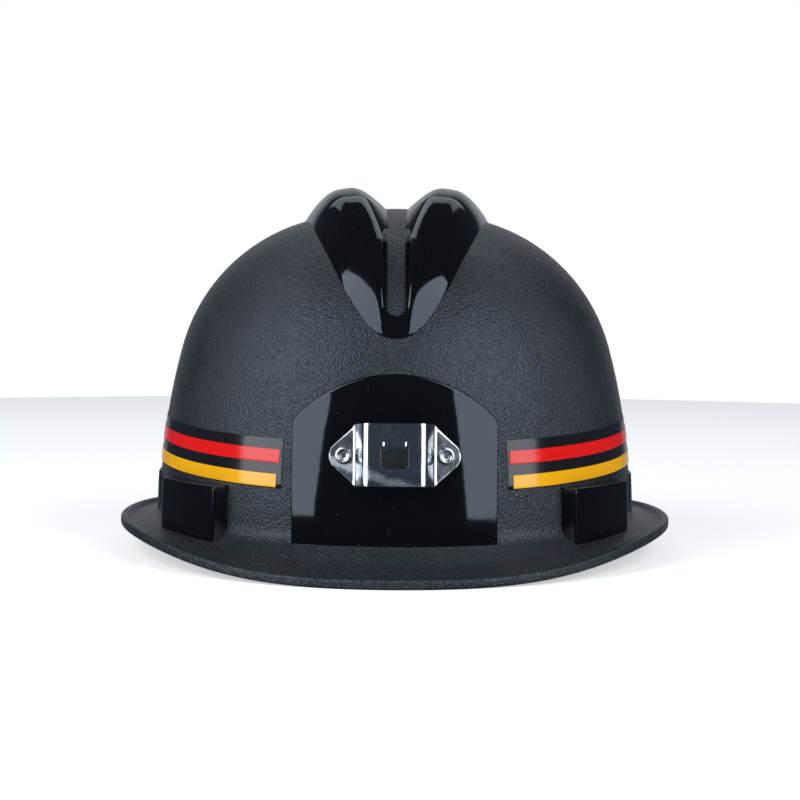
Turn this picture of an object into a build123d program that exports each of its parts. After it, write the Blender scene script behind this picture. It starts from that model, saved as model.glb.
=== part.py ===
from build123d import *
import os
from math import atan2, cos, degrees, hypot, pi, radians, sin, sqrt, tan

# Full-brim safety helmet with a cap-lamp bracket, its webbing suspension and ratchet headband.
# Millimetres. +Z up, front towards -Y, origin under the middle of the brim's bounding box.

# ---- shell ----
dome_half_width = 110.0     # outer surface at the brim root
dome_half_length = 122.0
dome_height = 141.0         # crown above the brim root
side_radius = 290.0         # three tangent arcs make the dome's outline
shoulder_radius = 83.0
crown_radius = 150.0
shell_wall = 2.5
root_z = 16.0               # height of the brim root
brim_half_width = 128.0
brim_half_length = 150.0
brim_thickness = 2.4
rim_side_z = 11.0           # underside of the rim at the sides; it is 0 at the front and back
lip_height = 4.2            # rim's outer face
lip_width = 3.0
lip_rise = 1.6              # lip above the brim's top surface

# ---- raised V ridges over the crown ----
ridge_peak = 11.0           # ridge above the dome at the crown
ridge_peak_share = 0.55     # peak line's place between the middle plane and the outer foot
groove_half_width = 4.0
ridge_root = 1.2            # how far the ridge is sunk in the wall
# Front to crown: angle above the brim root, outer foot, inner crest, share of the peak height.
ridge_stations = (
    (39.0, 8.0, 3.0, 0.16),
    (42.5, 15.0, 4.5, 0.34),
    (51.0, 24.5, 8.0, 0.6),
    (67.0, 35.5, 11.5, 0.92),
    (90.0, 43.0, 14.0, 1.0),
)

# ---- lamp panel, key blocks and side pads moulded on the shell ----
panel_half_width = 42.5
panel_shoulder_z = 66.0
panel_top_z = 85.5
panel_proud = 2.5
block_length = 45.0
block_top_z = 36.2
block_proud = 7.5
block_x = 90.5              # direction of the block's middle, in plan
block_y = 79.0
pocket_length = 32.0
pocket_gap = 5.2
pocket_top_z = 32.5
pocket_shift = 1.0          # pocket out from the middle of the block's wall
plug_play = 0.6             # plug thinner than its pocket
plug_short = 1.5            # plug lower than its pocket's roof
side_pad_half = 20.0
side_pad_top_z = 35.0
side_pad_proud = 1.2

# ---- lamp bracket ----
bracket_z = 52.0            # height of its middle
bracket_half_width = 27.0
bracket_height = 26.0
bracket_sheet = 1.5
bracket_gap = 6.5           # clear space behind the raised plate
plate_half_width = 11.5
riser_run = 4.0             # sideways run of each sloping riser
window_size = 11.4
window_corner = 1.6
rivet_x = 20.9
rivet_radius = 1.6
rivet_head_radius = 3.3
rivet_head = 1.1
rivet_dimple_radius = 1.0
rivet_round_share = 0.6     # head's edge rounding, of its height
rivet_clinch_share = 0.85   # clinch radius, of the head's radius
washer_radius = 5.0
washer_thickness = 0.8
bracket_washer_gap = 0.5    # the wall curves away behind the flat washers
clip_washer_gap = 0.9

# ---- stripe tapes ----
tape_film = 0.3
tape_low_z = 36.6           # at the tape's front end
tape_height = 20.8
tape_front_x = 47.5
tape_back_y = 45.0
tape_rise = 2.4             # degrees, up towards the back
stripe_film = 0.25
stripe_width = 5.6
red_offset = 10.7           # above the tape's lower edge
yellow_offset = 0.4

# ---- suspension ----
key_width = 30.0
key_foot_low_z = 9.0
key_foot_high_z = 12.3
key_wall_gap = 3.6          # from the shell's inner wall to the inner blade
key_blade = 2.6
key_top_z = 43.0
strap_bar = 4.0
strap_slot = 4.6
strap_width = 19.0
strap_thickness = 1.2
strap_apex_z = 118.0
strap_step = 2.0            # the upper strap runs this much above the lower one
crown_pad_radius = 30.0
crown_pad_thickness = 4.0

# ---- headband ----
band_half_width = 79.0      # to the middle of the band's thickness
band_half_length = 95.0
band_y = -8.0               # centre of the band's ellipse
band_low_z = 10.0
band_high_z = 42.0
band_thickness = 2.0
band_back_y = 62.0          # the moulded band ends here and the tails go on
brow_pad_thickness = 4.5
brow_pad_back_y = -30.0
brow_pad_margin = 2.0
arm_width = 8.0
arm_height = 6.0
arm_z = 26.0
peg_radius = 1.5
tail_thickness = 1.6
tail_half_height = 10.6

# ---- nape ratchet ----
nape_z = 26.0
housing_half_width = 26.0
housing_half_height = 15.0
housing_wall = 2.6
cavity_half_height = 11.0
cavity_half_gap = 1.4       # cavity on each side of the band's middle line
cover_thickness = 1.8
nape_pad_thickness = 4.0
pinion_teeth = 10
pinion_module = 1.0
pinion_thickness = 1.9
mesh_backlash = 0.2
tooth_clearance = 0.1
rack_reach = 14.0           # rack tip past the pinion's axis
shaft_radius = 3.0
pivot_radius = 1.8
pivot_length = 1.4
knob_radius = 13.0
knob_length = 11.0
knob_recess = 2.5
knob_flutes = 16
flute_radius = 1.3
boss_radius = 14.0
boss_rise = 1.2             # boss above the cover
square_size = 4.0
knob_web = 3.8              # knob's wall behind the square socket
square_play = 0.2           # square shorter than its socket
knob_screw_radius = 1.0
knob_screw_length = 3.6
knob_screw_head = 2.6       # radius
knob_screw_cap = 1.6        # height of the head
knob_screw_recess = 2.6     # depth
knob_screw_cross = 3.0
cover_screw_radius = 1.1
cover_screw_length = 3.5
cover_screw_hole = 4.0
cover_screw_head = 2.0
cover_screw_cap = 1.3
cover_screw_cross = 2.4
cover_screw_x = 20.5
click_ring_inner = 6.0
click_ring_outer = 9.0
click_ring_thickness = 0.8
click_nose = 0.9            # radius of each nose
click_nose_rise = 0.8

# ---- rear cable clip ----
clip_z = 52.0
clip_width = 16.0
clip_sheet = 1.4
clip_drop = 14.0            # from the rivet down to the bend
clip_gap = 6.5
clip_return = 12.0          # free arm, up from the bend
clip_bend = 2.4             # depth of the bend
clip_flare_out = 2.0
clip_flare_up = 3.0

# ---- clearances ----
fit_gap = 0.05              # between fitted pieces that don't move on each other
running_clearance = 0.05
body_gap = 0.4              # between the knob and the boss

stretch = dome_half_length / dome_half_width
everything = 400.0
pocket_near = (block_proud - shell_wall - pocket_gap) / 2 + pocket_shift
corners = [(side, end) for end in (-1, 1) for side in (-1, 1)]


def write(name, shape):
    export_step(shape, f"parts/{name}.step")


# ---- the dome's surface ----
def dome_arcs(grow):
    """Centre, radius, start and end angle of the three arcs, with height counted from the brim root."""
    side_centre = Vector(dome_half_width - side_radius, 0)
    crown_centre = Vector(0, dome_height - crown_radius)
    between = crown_centre - side_centre
    near = side_radius - shoulder_radius
    far = crown_radius - shoulder_radius
    share = (near**2 - far**2 + between.length**2) / (2 * between.length)
    across = Vector(-between.Y, between.X).normalized() * sqrt(near**2 - share**2)
    shoulder_centre = side_centre + between.normalized() * share + across
    lean = shoulder_centre - side_centre
    rise = shoulder_centre - crown_centre
    first = degrees(atan2(lean.Y, lean.X))
    second = degrees(atan2(rise.Y, rise.X))
    return (
        (side_centre, side_radius + grow, 0, first),
        (shoulder_centre, shoulder_radius + grow, first, second),
        (crown_centre, crown_radius + grow, second, 90),
    )


def ring_radius(z, grow):
    """The dome's radius across, at a height."""
    up = z - root_z
    if up <= 0:
        return dome_half_width + grow
    for centre, radius, _, end in dome_arcs(grow):
        if up <= centre.Y + radius * sin(radians(end)) + 1e-9:
            return centre.X + sqrt(max(radius**2 - (up - centre.Y) ** 2, 0))
    return 0.0


def surface_y(x, z, grow):
    """How far the dome's surface stands from the XZ plane."""
    return stretch * sqrt(ring_radius(z, grow) ** 2 - x**2)


def surface_reach(x, angle, grow):
    """How far the surface is from the X axis line at the brim root, at an angle above the root."""
    low, high = 0.0, 2 * dome_height
    for _ in range(40):
        middle = (low + high) / 2
        inside = hypot(x, middle * cos(radians(angle)) / stretch) < ring_radius(
            root_z + middle * sin(radians(angle)), grow
        )
        low, high = (middle, high) if inside else (low, middle)
    return low


def surface_frame(z, half_height, end, grow):
    """Frame on the dome's middle line: X across, Y up along the surface, Z outward."""
    fall = surface_y(0, z - half_height, grow) - surface_y(0, z + half_height, grow)
    lean = atan2(fall, 2 * half_height)
    rises = (-half_height, 0, half_height)
    highest = max(surface_y(0, z + rise, grow) + rise * tan(lean) for rise in rises)
    return Plane(origin=(0, end * highest, z), x_dir=(-end, 0, 0), z_dir=(0, end * cos(lean), sin(lean)))


# The shell is made round and is stretched to its length at the end, so its outlines start shorter in Y.
def round_dome(grow, bottom, hollow=0.0):
    """Round dome with a straight skirt below the root, solid or as a wall."""
    edges = [
        CenterArc((centre.X, root_z + centre.Y), radius, start, end - start)
        for centre, radius, start, end in dome_arcs(grow)
    ]
    radius = dome_half_width + grow
    top = root_z + dome_height + grow
    if hollow:
        inner = [
            CenterArc((centre.X, root_z + centre.Y), size, start, end - start)
            for centre, size, start, end in dome_arcs(grow - hollow)
        ]
        crown = Line((0, top), (0, top - hollow))
        near = radius - hollow
        skirt = Polyline((near, root_z), (near, bottom), (radius, bottom), (radius, root_z))
        edges += [crown, *inner, *skirt.edges()]
    else:
        edges += Polyline((0, top), (0, bottom), (radius, bottom), (radius, root_z)).edges()
    return revolve(Plane.XZ * Face(Wire(edges)), axis=Axis.Z)


def squeezed_prism(points, low, high):
    """Upright prism on points in plan, made shorter in Y."""
    outline = Wire.make_polygon([(x, y / stretch, low) for x, y in points], close=True)
    return extrude(Face(outline), high - low, dir=(0, 0, 1))


def stretched(shape):
    return scale(shape, by=(1, stretch, 1))


# ---- shell ----
def closed_curve(half_width, half_length, side_z, end_z):
    """Closed curve round the shell, level at the sides and falling smoothly to the front and back."""
    points = []
    for step in range(16):
        turn = radians(360 * step / 16)
        side_share = cos(turn) ** 4 * (3 - 2 * cos(turn) ** 2)
        height = end_z + (side_z - end_z) * side_share
        points.append((half_width * cos(turn), half_length * sin(turn), height))
    return Spline(*points, periodic=True)


def brim():
    """Saddle-shaped brim with its raised lip, as ruled faces between closed curves."""
    channel = lip_height - lip_rise
    shoulder = lip_width + lip_rise
    edge_points = (
        (0, 0),
        (0, lip_height),
        (lip_width, lip_height),
        (shoulder, channel),
        (shoulder, channel - brim_thickness),
    )
    curves = [
        closed_curve(brim_half_width - inset, (brim_half_length - inset) / stretch, rim_side_z + rise, rise)
        for inset, rise in edge_points
    ]
    buried = dome_half_width - shell_wall / 2
    top, bottom = root_z - 0.2, root_z - brim_thickness
    curves[4:4] = [closed_curve(buried, buried, top, top), closed_curve(buried, buried, bottom, bottom)]
    pairs = zip(curves, curves[1:] + curves[:1])
    return Solid(Shell([Face.make_surface_from_curves(first, second) for first, second in pairs]))


def ridge():
    """One raised ridge, from its tip above the lamp panel over the crown to its rear tip."""
    rear = [(180 - angle, *rest) for angle, *rest in reversed(ridge_stations[:-1])]
    sections = []
    for angle, outer, inner, share in (*ridge_stations, *rear):
        peak = ridge_peak * share
        profile = (
            (outer, -ridge_root),
            (outer - 0.3, min(0.8, peak / 2)),
            (max(outer * ridge_peak_share, inner + 1), peak),
            (inner, peak * 0.85),
            (min(groove_half_width, inner * 0.7), -ridge_root),
        )
        points = []
        for x, rise in profile:
            reach = surface_reach(x, angle, 0) + rise
            points.append((x, -reach * cos(radians(angle)) / stretch, root_z + reach * sin(radians(angle))))
        sections.append(Wire.make_polygon(points, close=True))
    return Solid.make_loft(sections, ruled=False)


def lamp_panel():
    """Raised panel under the lamp bracket, with an arched top."""
    sides = Polyline(
        (-panel_half_width, panel_shoulder_z),
        (-panel_half_width, root_z - 1),
        (panel_half_width, root_z - 1),
        (panel_half_width, panel_shoulder_z),
    )
    shoulder = (panel_half_width, panel_shoulder_z)
    arch = ThreePointArc(shoulder, (0, panel_top_z), (-panel_half_width, panel_shoulder_z))
    face = Plane.XZ * Face(Wire([*sides.edges(), arch]))
    return extrude(face, everything) & round_dome(panel_proud, root_z - 1)


def block_frame(side, end):
    """Frame on the dome at a key block: X along the dome, Y outward, Z up."""
    turn = atan2(block_y / dome_half_length**2, block_x / dome_half_width**2)
    outward = Vector(side * cos(turn), end * sin(turn), 0)
    ring = hypot(block_x / dome_half_width, block_y / dome_half_length)
    place = (side * block_x / ring, end * block_y / ring, 0)
    return Plane(origin=place, x_dir=outward.cross(Vector(0, 0, 1)), z_dir=(0, 0, 1))


def block_prism(side, end, length, near, far, low, high):
    """Prism in a key block's frame, from near to far outward of the dome, made shorter in Y."""
    frame = block_frame(side, end)
    half = length / 2
    corners_in_plan = ((-half, near), (half, near), (half, far), (-half, far))
    places = [frame.from_local_coords((x, y, 0)) for x, y in corners_in_plan]
    return squeezed_prism([(place.X, place.Y) for place in places], low, high)


def block_box(side, end, centre, size):
    """Box in a key block's frame."""
    return block_frame(side, end) * Pos(*centre) * Box(*size)


def round_shell():
    """The moulded shell before it is stretched: dome, brim, ridges, lamp panel, key blocks and side pads."""
    skirt = root_z - brim_thickness
    body = round_dome(0, skirt, shell_wall)
    body = body.fuse(brim())
    right = ridge()
    body = body.fuse(right, mirror(right, about=Plane.YZ))
    cores = [lamp_panel()]
    thick = round_dome(block_proud, skirt)
    for side, end in corners:
        cores.append(thick & block_prism(side, end, block_length, -15, 30, skirt + 0.1, block_top_z))
    pad_edge = [(everything, -side_pad_half), (everything, side_pad_half)]
    for side in (-1, 1):
        edge = [(side * x, y) for x, y in (*pad_edge, (90, side_pad_half), (90, -side_pad_half))]
        cores.append(round_dome(side_pad_proud, skirt) & squeezed_prism(edge, skirt + 0.1, side_pad_top_z))
    inside = round_dome(-shell_wall / 2, root_z - 10)
    body = body.fuse(*[core - inside for core in cores])
    pockets = [
        block_prism(side, end, pocket_length, pocket_near, pocket_near + pocket_gap, -10, pocket_top_z)
        for side, end in corners
    ]
    return body.cut(*pockets)


bracket_frame = surface_frame(bracket_z, bracket_height / 2, -1, panel_proud)


def wing_drop(x):
    """How far the panel falls back from the bracket frame's plane, at a place across."""
    return surface_y(0, bracket_z, panel_proud) - surface_y(x, bracket_z, panel_proud)


bend_x = plate_half_width + riser_run
wing_lean = degrees(atan2(wing_drop(bracket_half_width) - wing_drop(bend_x), bracket_half_width - bend_x))
wing_base = fit_gap - wing_drop(rivet_x)


def rivet_frame(side):
    """Frame at a bracket rivet, on the wing's back face: Z outward along the rivet."""
    return bracket_frame * Pos(side * rivet_x, 0, wing_base) * Rot(Y=side * wing_lean)


clip_frame = surface_frame(clip_z - clip_drop / 2, clip_drop, 1, 0)
clip_rivet_frame = clip_frame * Pos(0, clip_drop / 2, fit_gap)


def rivet_hole(frame):
    return frame * Cylinder(rivet_radius + fit_gap, 24)


def shell():
    """The finished shell, with its rivet holes drilled."""
    holes = [rivet_hole(frame) for frame in (rivet_frame(-1), rivet_frame(1), clip_rivet_frame)]
    return stretched(round_shell()).cut(*holes)


# ---- lamp bracket ----
def lamp_bracket():
    """Stamped bracket: a raised plate with a window, sloping risers and two riveted wings."""
    tip = wing_base - tan(radians(wing_lean)) * (bracket_half_width - rivet_x)
    bend = wing_base + tan(radians(wing_lean)) * (rivet_x - bend_x)
    right = [(plate_half_width, bracket_gap), (bend_x, bend), (bracket_half_width, tip)]
    left = [(-x, rise) for x, rise in reversed(right)]
    line = Polyline(*left, *right)
    strip = make_face(offset(line, amount=bracket_sheet, side=Side.LEFT, kind=Kind.INTERSECTION))
    sheet = extrude(Plane.XZ * strip, bracket_height / 2, both=True)
    tip_radius = bracket_half_width - rivet_x
    outline = make_hull(
        [
            *Rectangle(2 * bend_x, bracket_height).edges(),
            *(Pos(rivet_x, 0) * Circle(tip_radius)).edges(),
            *(Pos(-rivet_x, 0) * Circle(tip_radius)).edges(),
        ]
    )
    sheet &= extrude(outline, 30, both=True)
    sheet -= extrude(RectangleRounded(window_size, window_size, window_corner), 30, both=True)
    for side in (-1, 1):
        hole = Rot(Y=side * wing_lean) * Cylinder(rivet_radius + fit_gap, 12)
        sheet -= Pos(side * rivet_x, 0, wing_base) * hole
    lip = Pos(0, window_size / 2, bracket_gap + bracket_sheet / 2) * Rot(Y=90)
    sheet += lip * Cylinder(bracket_sheet * 0.75, window_size - 2 * window_corner)
    return bracket_frame * sheet


def rivet(grip):
    """Rivet from Z = 0, the back of the sheet, with its head outside and its clinch inside."""
    outer = bracket_sheet + fit_gap
    head = Pos(0, 0, outer + rivet_head / 2) * Cylinder(rivet_head_radius, rivet_head)
    head = fillet(head.edges().sort_by(Axis.Z)[-1], rivet_head * rivet_round_share)
    inner = -grip - washer_thickness - 2 * fit_gap
    clinch_radius = rivet_head_radius * rivet_clinch_share
    clinch = Pos(0, 0, inner - rivet_head / 2) * Cylinder(clinch_radius, rivet_head)
    shank = Pos(0, 0, (outer + inner) / 2) * Cylinder(rivet_radius, outer - inner + rivet_head)
    dimple = Pos(0, 0, outer + rivet_head) * Cylinder(rivet_dimple_radius, 2 * rivet_head)
    return head + clinch + shank - dimple


def washer(grip):
    ring = Circle(washer_radius) - Circle(rivet_radius + fit_gap)
    return Pos(0, 0, -grip - washer_thickness - fit_gap) * extrude(ring, washer_thickness)


wall_grip = shell_wall * stretch + panel_proud * stretch + bracket_washer_gap
clip_grip = shell_wall * stretch + clip_washer_gap


# ---- stripe tapes ----
def tape(side, low, height, near, film):
    """Film on the dome from the front corner round the side, leaning up towards the back."""
    length = tape_back_y + everything / 2
    band = Box(everything, everything, height, align=(Align.MIN, Align.CENTER, Align.MIN))
    pivot = surface_y(tape_front_x, tape_low_z, 0)
    band = Pos(tape_front_x, -pivot, tape_low_z + low) * Rot(X=tape_rise) * band
    back = Pos(0, tape_back_y - length / 2, 0) * Box(2 * everything, length, 2 * everything)
    sheet = stretched(round_dome(near + film, root_z - 2, film)) & band & back
    return sheet if side > 0 else mirror(sheet, about=Plane.YZ)


def stripes(low):
    near = fit_gap + tape_film + fit_gap
    return Compound([tape(side, low, stripe_width, near, stripe_film) for side in (-1, 1)])


# ---- suspension ----
inner_face = -shell_wall * stretch
blade_outer = inner_face - key_wall_gap
blade_inner = blade_outer - key_blade


def hanger_key(side, end):
    """Plug in the shell's pocket, a foot under the wall and a slotted blade inside."""
    plug_thickness = pocket_gap - plug_play
    plug_y = pocket_near + pocket_gap / 2
    plug_top = pocket_top_z - plug_short
    plug_z = (key_foot_low_z + plug_top) / 2
    plug_size = (key_width, plug_thickness, plug_top - key_foot_low_z)
    key = block_box(side, end, (0, plug_y, plug_z), plug_size)
    reach = plug_y + plug_thickness / 2 - blade_inner
    foot_height = key_foot_high_z - key_foot_low_z
    foot_z = (key_foot_low_z + key_foot_high_z) / 2
    key += block_box(side, end, (0, blade_inner + reach / 2, foot_z), (key_width, reach, foot_height))
    blade_z = (key_foot_low_z + key_top_z) / 2
    blade_y = (blade_outer + blade_inner) / 2
    key += block_box(side, end, (0, blade_y, blade_z), (key_width, key_blade, key_top_z - key_foot_low_z))
    slot_z = key_top_z - strap_bar - strap_slot / 2
    key -= block_box(side, end, (0, blade_y, slot_z), (strap_width + 3, 3 * key_blade, strap_slot))
    peg_hole = Rot(X=90) * Cylinder(peg_radius + fit_gap, 3 * key_blade)
    return key - block_frame(side, end) * Pos(0, blade_y, arm_z) * peg_hole


def strap_loop(side, end):
    """Sewn loop of webbing round the bar over the key's slot."""
    across = key_blade + 2 * fit_gap
    up = strap_bar + 2 * fit_gap
    centre = (0, (blade_outer + blade_inner) / 2, key_top_z - strap_bar / 2)
    loop = block_box(side, end, centre, (strap_width, across + 2 * strap_thickness, up + 2 * strap_thickness))
    return loop - block_box(side, end, centre, (strap_width + 1, across, up))


def crown_strap(side, rise):
    """Webbing strap from a front key over the crown to the rear key across from it."""
    foot = block_frame(1, 1).from_local_coords((0, (blade_outer + blade_inner) / 2, 0))
    half_span = hypot(foot.X, foot.Y)
    foot_z = key_top_z + fit_gap + strap_thickness
    height = strap_apex_z + rise - foot_z
    radius = (half_span**2 + height**2) / (2 * height)
    ring = Circle(radius + strap_thickness / 2) - Circle(radius - strap_thickness / 2)
    keep = foot_z - strap_thickness * 0.8
    centre_z = strap_apex_z + rise - radius
    ring &= Pos(0, everything / 2 + keep - centre_z) * Rectangle(3 * everything, everything)
    strap = Plane.XZ * extrude(ring, strap_width / 2, both=True)
    strap = Pos(0, 0, centre_z) * Rot(Z=side * degrees(atan2(foot.Y, foot.X))) * strap
    return strap + strap_loop(side, 1) + strap_loop(-side, -1)


def crown_pad():
    """Curved cushion under the place where the straps cross."""
    foot = block_frame(1, 1).from_local_coords((0, (blade_outer + blade_inner) / 2, 0))
    height = strap_apex_z - key_top_z - fit_gap - strap_thickness
    radius = (hypot(foot.X, foot.Y) ** 2 + height**2) / (2 * height)
    outer = radius - strap_thickness / 2 - 0.2
    centre = Pos(0, 0, strap_apex_z - radius)
    bowl = centre * (Sphere(outer) - Sphere(outer - crown_pad_thickness))
    return bowl & Pos(0, 0, strap_apex_z) * Cylinder(crown_pad_radius, 60)


# ---- headband ----
def band_disc(grow, low, high):
    """Upright elliptical cylinder, grown outward from the band's middle line."""
    face = Pos(0, band_y, low) * Ellipse(band_half_width + grow, band_half_length + grow)
    return extrude(face, high - low)


def band_ring(near, far, low, high):
    return band_disc(far, low, high) - band_disc(near, low, high)


def arm_length(side, end):
    """From the key's inner face to the headband's outer face."""
    start = block_frame(1, end).from_local_coords((0, blade_inner, 0))
    inward = block_frame(1, end).from_local_coords((0, blade_inner - 1, 0)) - start
    low, high = 0.0, 60.0
    for _ in range(40):
        middle = (low + high) / 2
        place = start + inward * middle
        across = place.X / (band_half_width + band_thickness / 2)
        along = (place.Y - band_y) / (band_half_length + band_thickness / 2)
        low, high = (middle, high) if hypot(across, along) > 1 else (low, middle)
    return low


def headband():
    """Moulded band round the front and sides, with an arm and peg to each hanger key."""
    half = band_thickness / 2
    band = band_ring(-half, half, band_low_z, band_high_z)
    band &= Pos(0, band_back_y - everything / 2, 0) * Box(everything, everything, everything)
    inside = band_disc(0, band_low_z, band_high_z)
    for side, end in corners:
        length = arm_length(side, end) + 2 * arm_width
        start = blade_inner - fit_gap
        arm = block_box(side, end, (0, start - length / 2, arm_z), (arm_width, length, arm_height))
        band += arm - inside
        peg_length = key_blade + 1
        peg = block_frame(side, end) * Pos(0, start + peg_length / 2, arm_z) * Rot(X=90)
        band += peg * Cylinder(peg_radius, peg_length + 1)
    return band


def brow_pad():
    """Soft sweatband inside the front of the headband."""
    near = -band_thickness / 2 - fit_gap
    low, high = band_low_z + brow_pad_margin, band_high_z - brow_pad_margin
    pad = band_ring(near - brow_pad_thickness, near, low, high)
    return pad & Pos(0, brow_pad_back_y - everything / 2, 0) * Box(everything, everything, everything)


# ---- nape ratchet ----
pitch_radius = pinion_module * pinion_teeth / 2
tooth_pitch = pi * pinion_module
addendum = 0.85 * pinion_module
dedendum = addendum + tooth_clearance + 0.15 * pinion_module
nape_y = band_y + band_half_length


def rack_outline():
    """Tail outline in X and Z about the pinion: a strip outside the housing, a toothed rack inside."""
    root = pitch_radius + dedendum
    tip = pitch_radius - addendum
    half_root = (tooth_pitch - mesh_backlash) / 4 + dedendum * tan(radians(20))
    half_tip = (tooth_pitch - mesh_backlash) / 4 - addendum * tan(radians(20))
    mouth = -housing_half_width - fit_gap
    points = [(mouth, root)]
    count = int(rack_reach / tooth_pitch)
    for tooth in range(-count, count):
        middle = (tooth + 0.5) * tooth_pitch
        points += [
            (middle - half_root, root),
            (middle - half_tip, tip),
            (middle + half_tip, tip),
            (middle + half_root, root),
        ]
    points += [(rack_reach, root), (rack_reach, tail_half_height), (-everything, tail_half_height)]
    points += [(-everything, -tail_half_height), (mouth, -tail_half_height)]
    return points


def band_tail(side):
    """Flexible strip from the headband's end into the housing, with rack teeth over or under the pinion."""
    outline = Polyline(*rack_outline(), close=True)
    prism = extrude(Plane.XZ * make_face(outline), -everything)
    strip = Pos(0, band_back_y + fit_gap, nape_z) * prism
    half = tail_thickness / 2
    strip &= band_ring(-half, half, nape_z - tail_half_height - 1, nape_z + tail_half_height + 1)
    if side > 0:
        strip = Pos(0, 0, nape_z) * Rot(Y=180) * Pos(0, 0, -nape_z) * strip
    return strip


def screw_places():
    flange_z = (cavity_half_height + housing_half_height) / 2
    middle_y = band_y + band_half_length * sqrt(1 - (cover_screw_x / band_half_width) ** 2)
    seat = middle_y + cavity_half_gap + cover_thickness / 2
    return [(x, seat, nape_z + z) for x in (-cover_screw_x, cover_screw_x) for z in (-flange_z, flange_z)]


def along_y(radius, start, end, x=0.0, z=nape_z):
    """Cylinder along Y between two places."""
    return Pos(x, (start + end) / 2, z) * Rot(X=90) * Cylinder(radius, end - start)


def window(half_width, half_height):
    """Space behind the head in which the nape pieces lie."""
    return Pos(0, everything / 2, nape_z) * Box(2 * half_width, everything, 2 * half_height)


boss_face = nape_y + cavity_half_gap + cover_thickness + boss_rise
pinion_front = nape_y - pinion_thickness / 2
pinion_back = nape_y + pinion_thickness / 2
pivot_hole_depth = pivot_length + 0.2


def ratchet_housing():
    """Housing on the head's side, with the cavity in which the racks and the pinion lie."""
    low, high = nape_z - housing_half_height, nape_z + housing_half_height
    body = band_ring(-cavity_half_gap - housing_wall, cavity_half_gap, low, high)
    body &= window(housing_half_width, housing_half_height)
    cavity_low, cavity_high = nape_z - cavity_half_height, nape_z + cavity_half_height
    body -= band_ring(-cavity_half_gap, cavity_half_gap + 1, cavity_low, cavity_high)
    body -= along_y(pivot_radius + running_clearance, pinion_front - pivot_hole_depth, nape_y)
    for x, seat, z in screw_places():
        body -= along_y(cover_screw_radius + fit_gap, seat - cover_screw_hole, seat + cover_screw_hole, x, z)
    return body


def ratchet_cover():
    """Cover on the housing, with the boss on which the knob turns."""
    low, high = nape_z - housing_half_height, nape_z + housing_half_height
    near = cavity_half_gap + fit_gap
    body = band_ring(near, cavity_half_gap + cover_thickness, low, high)
    body &= window(housing_half_width, housing_half_height)
    boss = along_y(boss_radius, nape_y - 6, boss_face)
    body += boss - band_disc(near, low - 1, high + 1)
    body -= along_y(shaft_radius + running_clearance, nape_y, boss_face + 1)
    for x, seat, z in screw_places():
        body -= along_y(cover_screw_radius + fit_gap, seat - cover_screw_hole, seat + cover_screw_hole, x, z)
        body -= along_y(cover_screw_head + fit_gap, seat, seat + cover_thickness + boss_rise, x, z)
    return body


def cross_slot(across):
    """Two crossed slots for a driver, in a screw's head."""
    return Box(across / 5, across / 2, across) + Box(across, across / 2, across / 5)


def cover_screws():
    pieces = []
    for x, seat, z in screw_places():
        top = seat + cover_screw_cap
        shank = along_y(cover_screw_radius, seat - cover_screw_length, top - cover_screw_cap / 2, x, z)
        head = along_y(cover_screw_head, seat + fit_gap, top, x, z)
        pieces.append(shank + head - Pos(x, top, z) * cross_slot(cover_screw_cross))
    return Compound(pieces)


def pinion():
    """Pinion with its pivot, shaft and square drive."""
    teeth = []
    half_root = degrees(((tooth_pitch - mesh_backlash) / 4 + dedendum * tan(radians(20))) / pitch_radius)
    half_pitch = degrees((tooth_pitch - mesh_backlash) / 4 / pitch_radius)
    half_tip = degrees(((tooth_pitch - mesh_backlash) / 4 - addendum * tan(radians(24))) / pitch_radius)
    root = pitch_radius - dedendum
    tip = pitch_radius + addendum
    for tooth in range(pinion_teeth):
        middle = 90 + 360 * tooth / pinion_teeth
        flank = ((-half_root, root), (-half_pitch, pitch_radius), (-half_tip, tip))
        for turn, radius in (*flank, *((-turn, radius) for turn, radius in reversed(flank))):
            teeth.append((radius * cos(radians(middle + turn)), radius * sin(radians(middle + turn))))
    gear = extrude(Plane.XZ * make_face(Polyline(*teeth, close=True)), -pinion_thickness)
    body = Pos(0, pinion_front, nape_z) * gear
    body += along_y(pivot_radius, pinion_front - pivot_length, pinion_front + 0.1)
    shoulder = boss_face + body_gap + knob_recess
    body += along_y(shaft_radius, pinion_back - 0.1, shoulder)
    square_length = knob_length - knob_recess - knob_web - square_play
    body += Pos(0, shoulder + square_length / 2, nape_z) * Box(square_size, square_length, square_size)
    screw_start = shoulder + square_length - knob_screw_length
    return body - along_y(knob_screw_radius + fit_gap, screw_start, shoulder + square_length + 1)


knob_face = boss_face + body_gap
knob_back = knob_face + knob_length
screw_seat = knob_back - knob_screw_recess


def adjust_knob():
    """Fluted knob with a recess for the click ring, a square socket and a screw recess."""
    body = along_y(knob_radius, knob_face, knob_back)
    body = chamfer(body.edges().filter_by(GeomType.CIRCLE), 0.8)
    for flute in range(knob_flutes):
        turn = radians(360 * flute / knob_flutes)
        x, z = knob_radius * cos(turn), nape_z + knob_radius * sin(turn)
        body -= along_y(flute_radius, knob_face - 1, knob_back + 1, x, z)
    body -= along_y(click_ring_outer + body_gap, knob_face - 1, knob_face + knob_recess)
    socket_length = knob_length - knob_recess - knob_web
    socket = square_size + 2 * fit_gap
    body -= Pos(0, knob_face + knob_recess + socket_length / 2, nape_z) * Box(socket, socket_length, socket)
    body -= along_y(knob_screw_radius + fit_gap, knob_face, knob_back)
    return body - along_y(knob_screw_head + fit_gap, screw_seat, knob_back + 1)


def knob_screw():
    top = screw_seat + knob_screw_cap
    head = along_y(knob_screw_head, screw_seat + fit_gap, top)
    shank = along_y(knob_screw_radius, screw_seat - knob_screw_length, top - knob_screw_cap / 2)
    return head + shank - Pos(0, top, nape_z) * cross_slot(knob_screw_cross)


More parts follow.
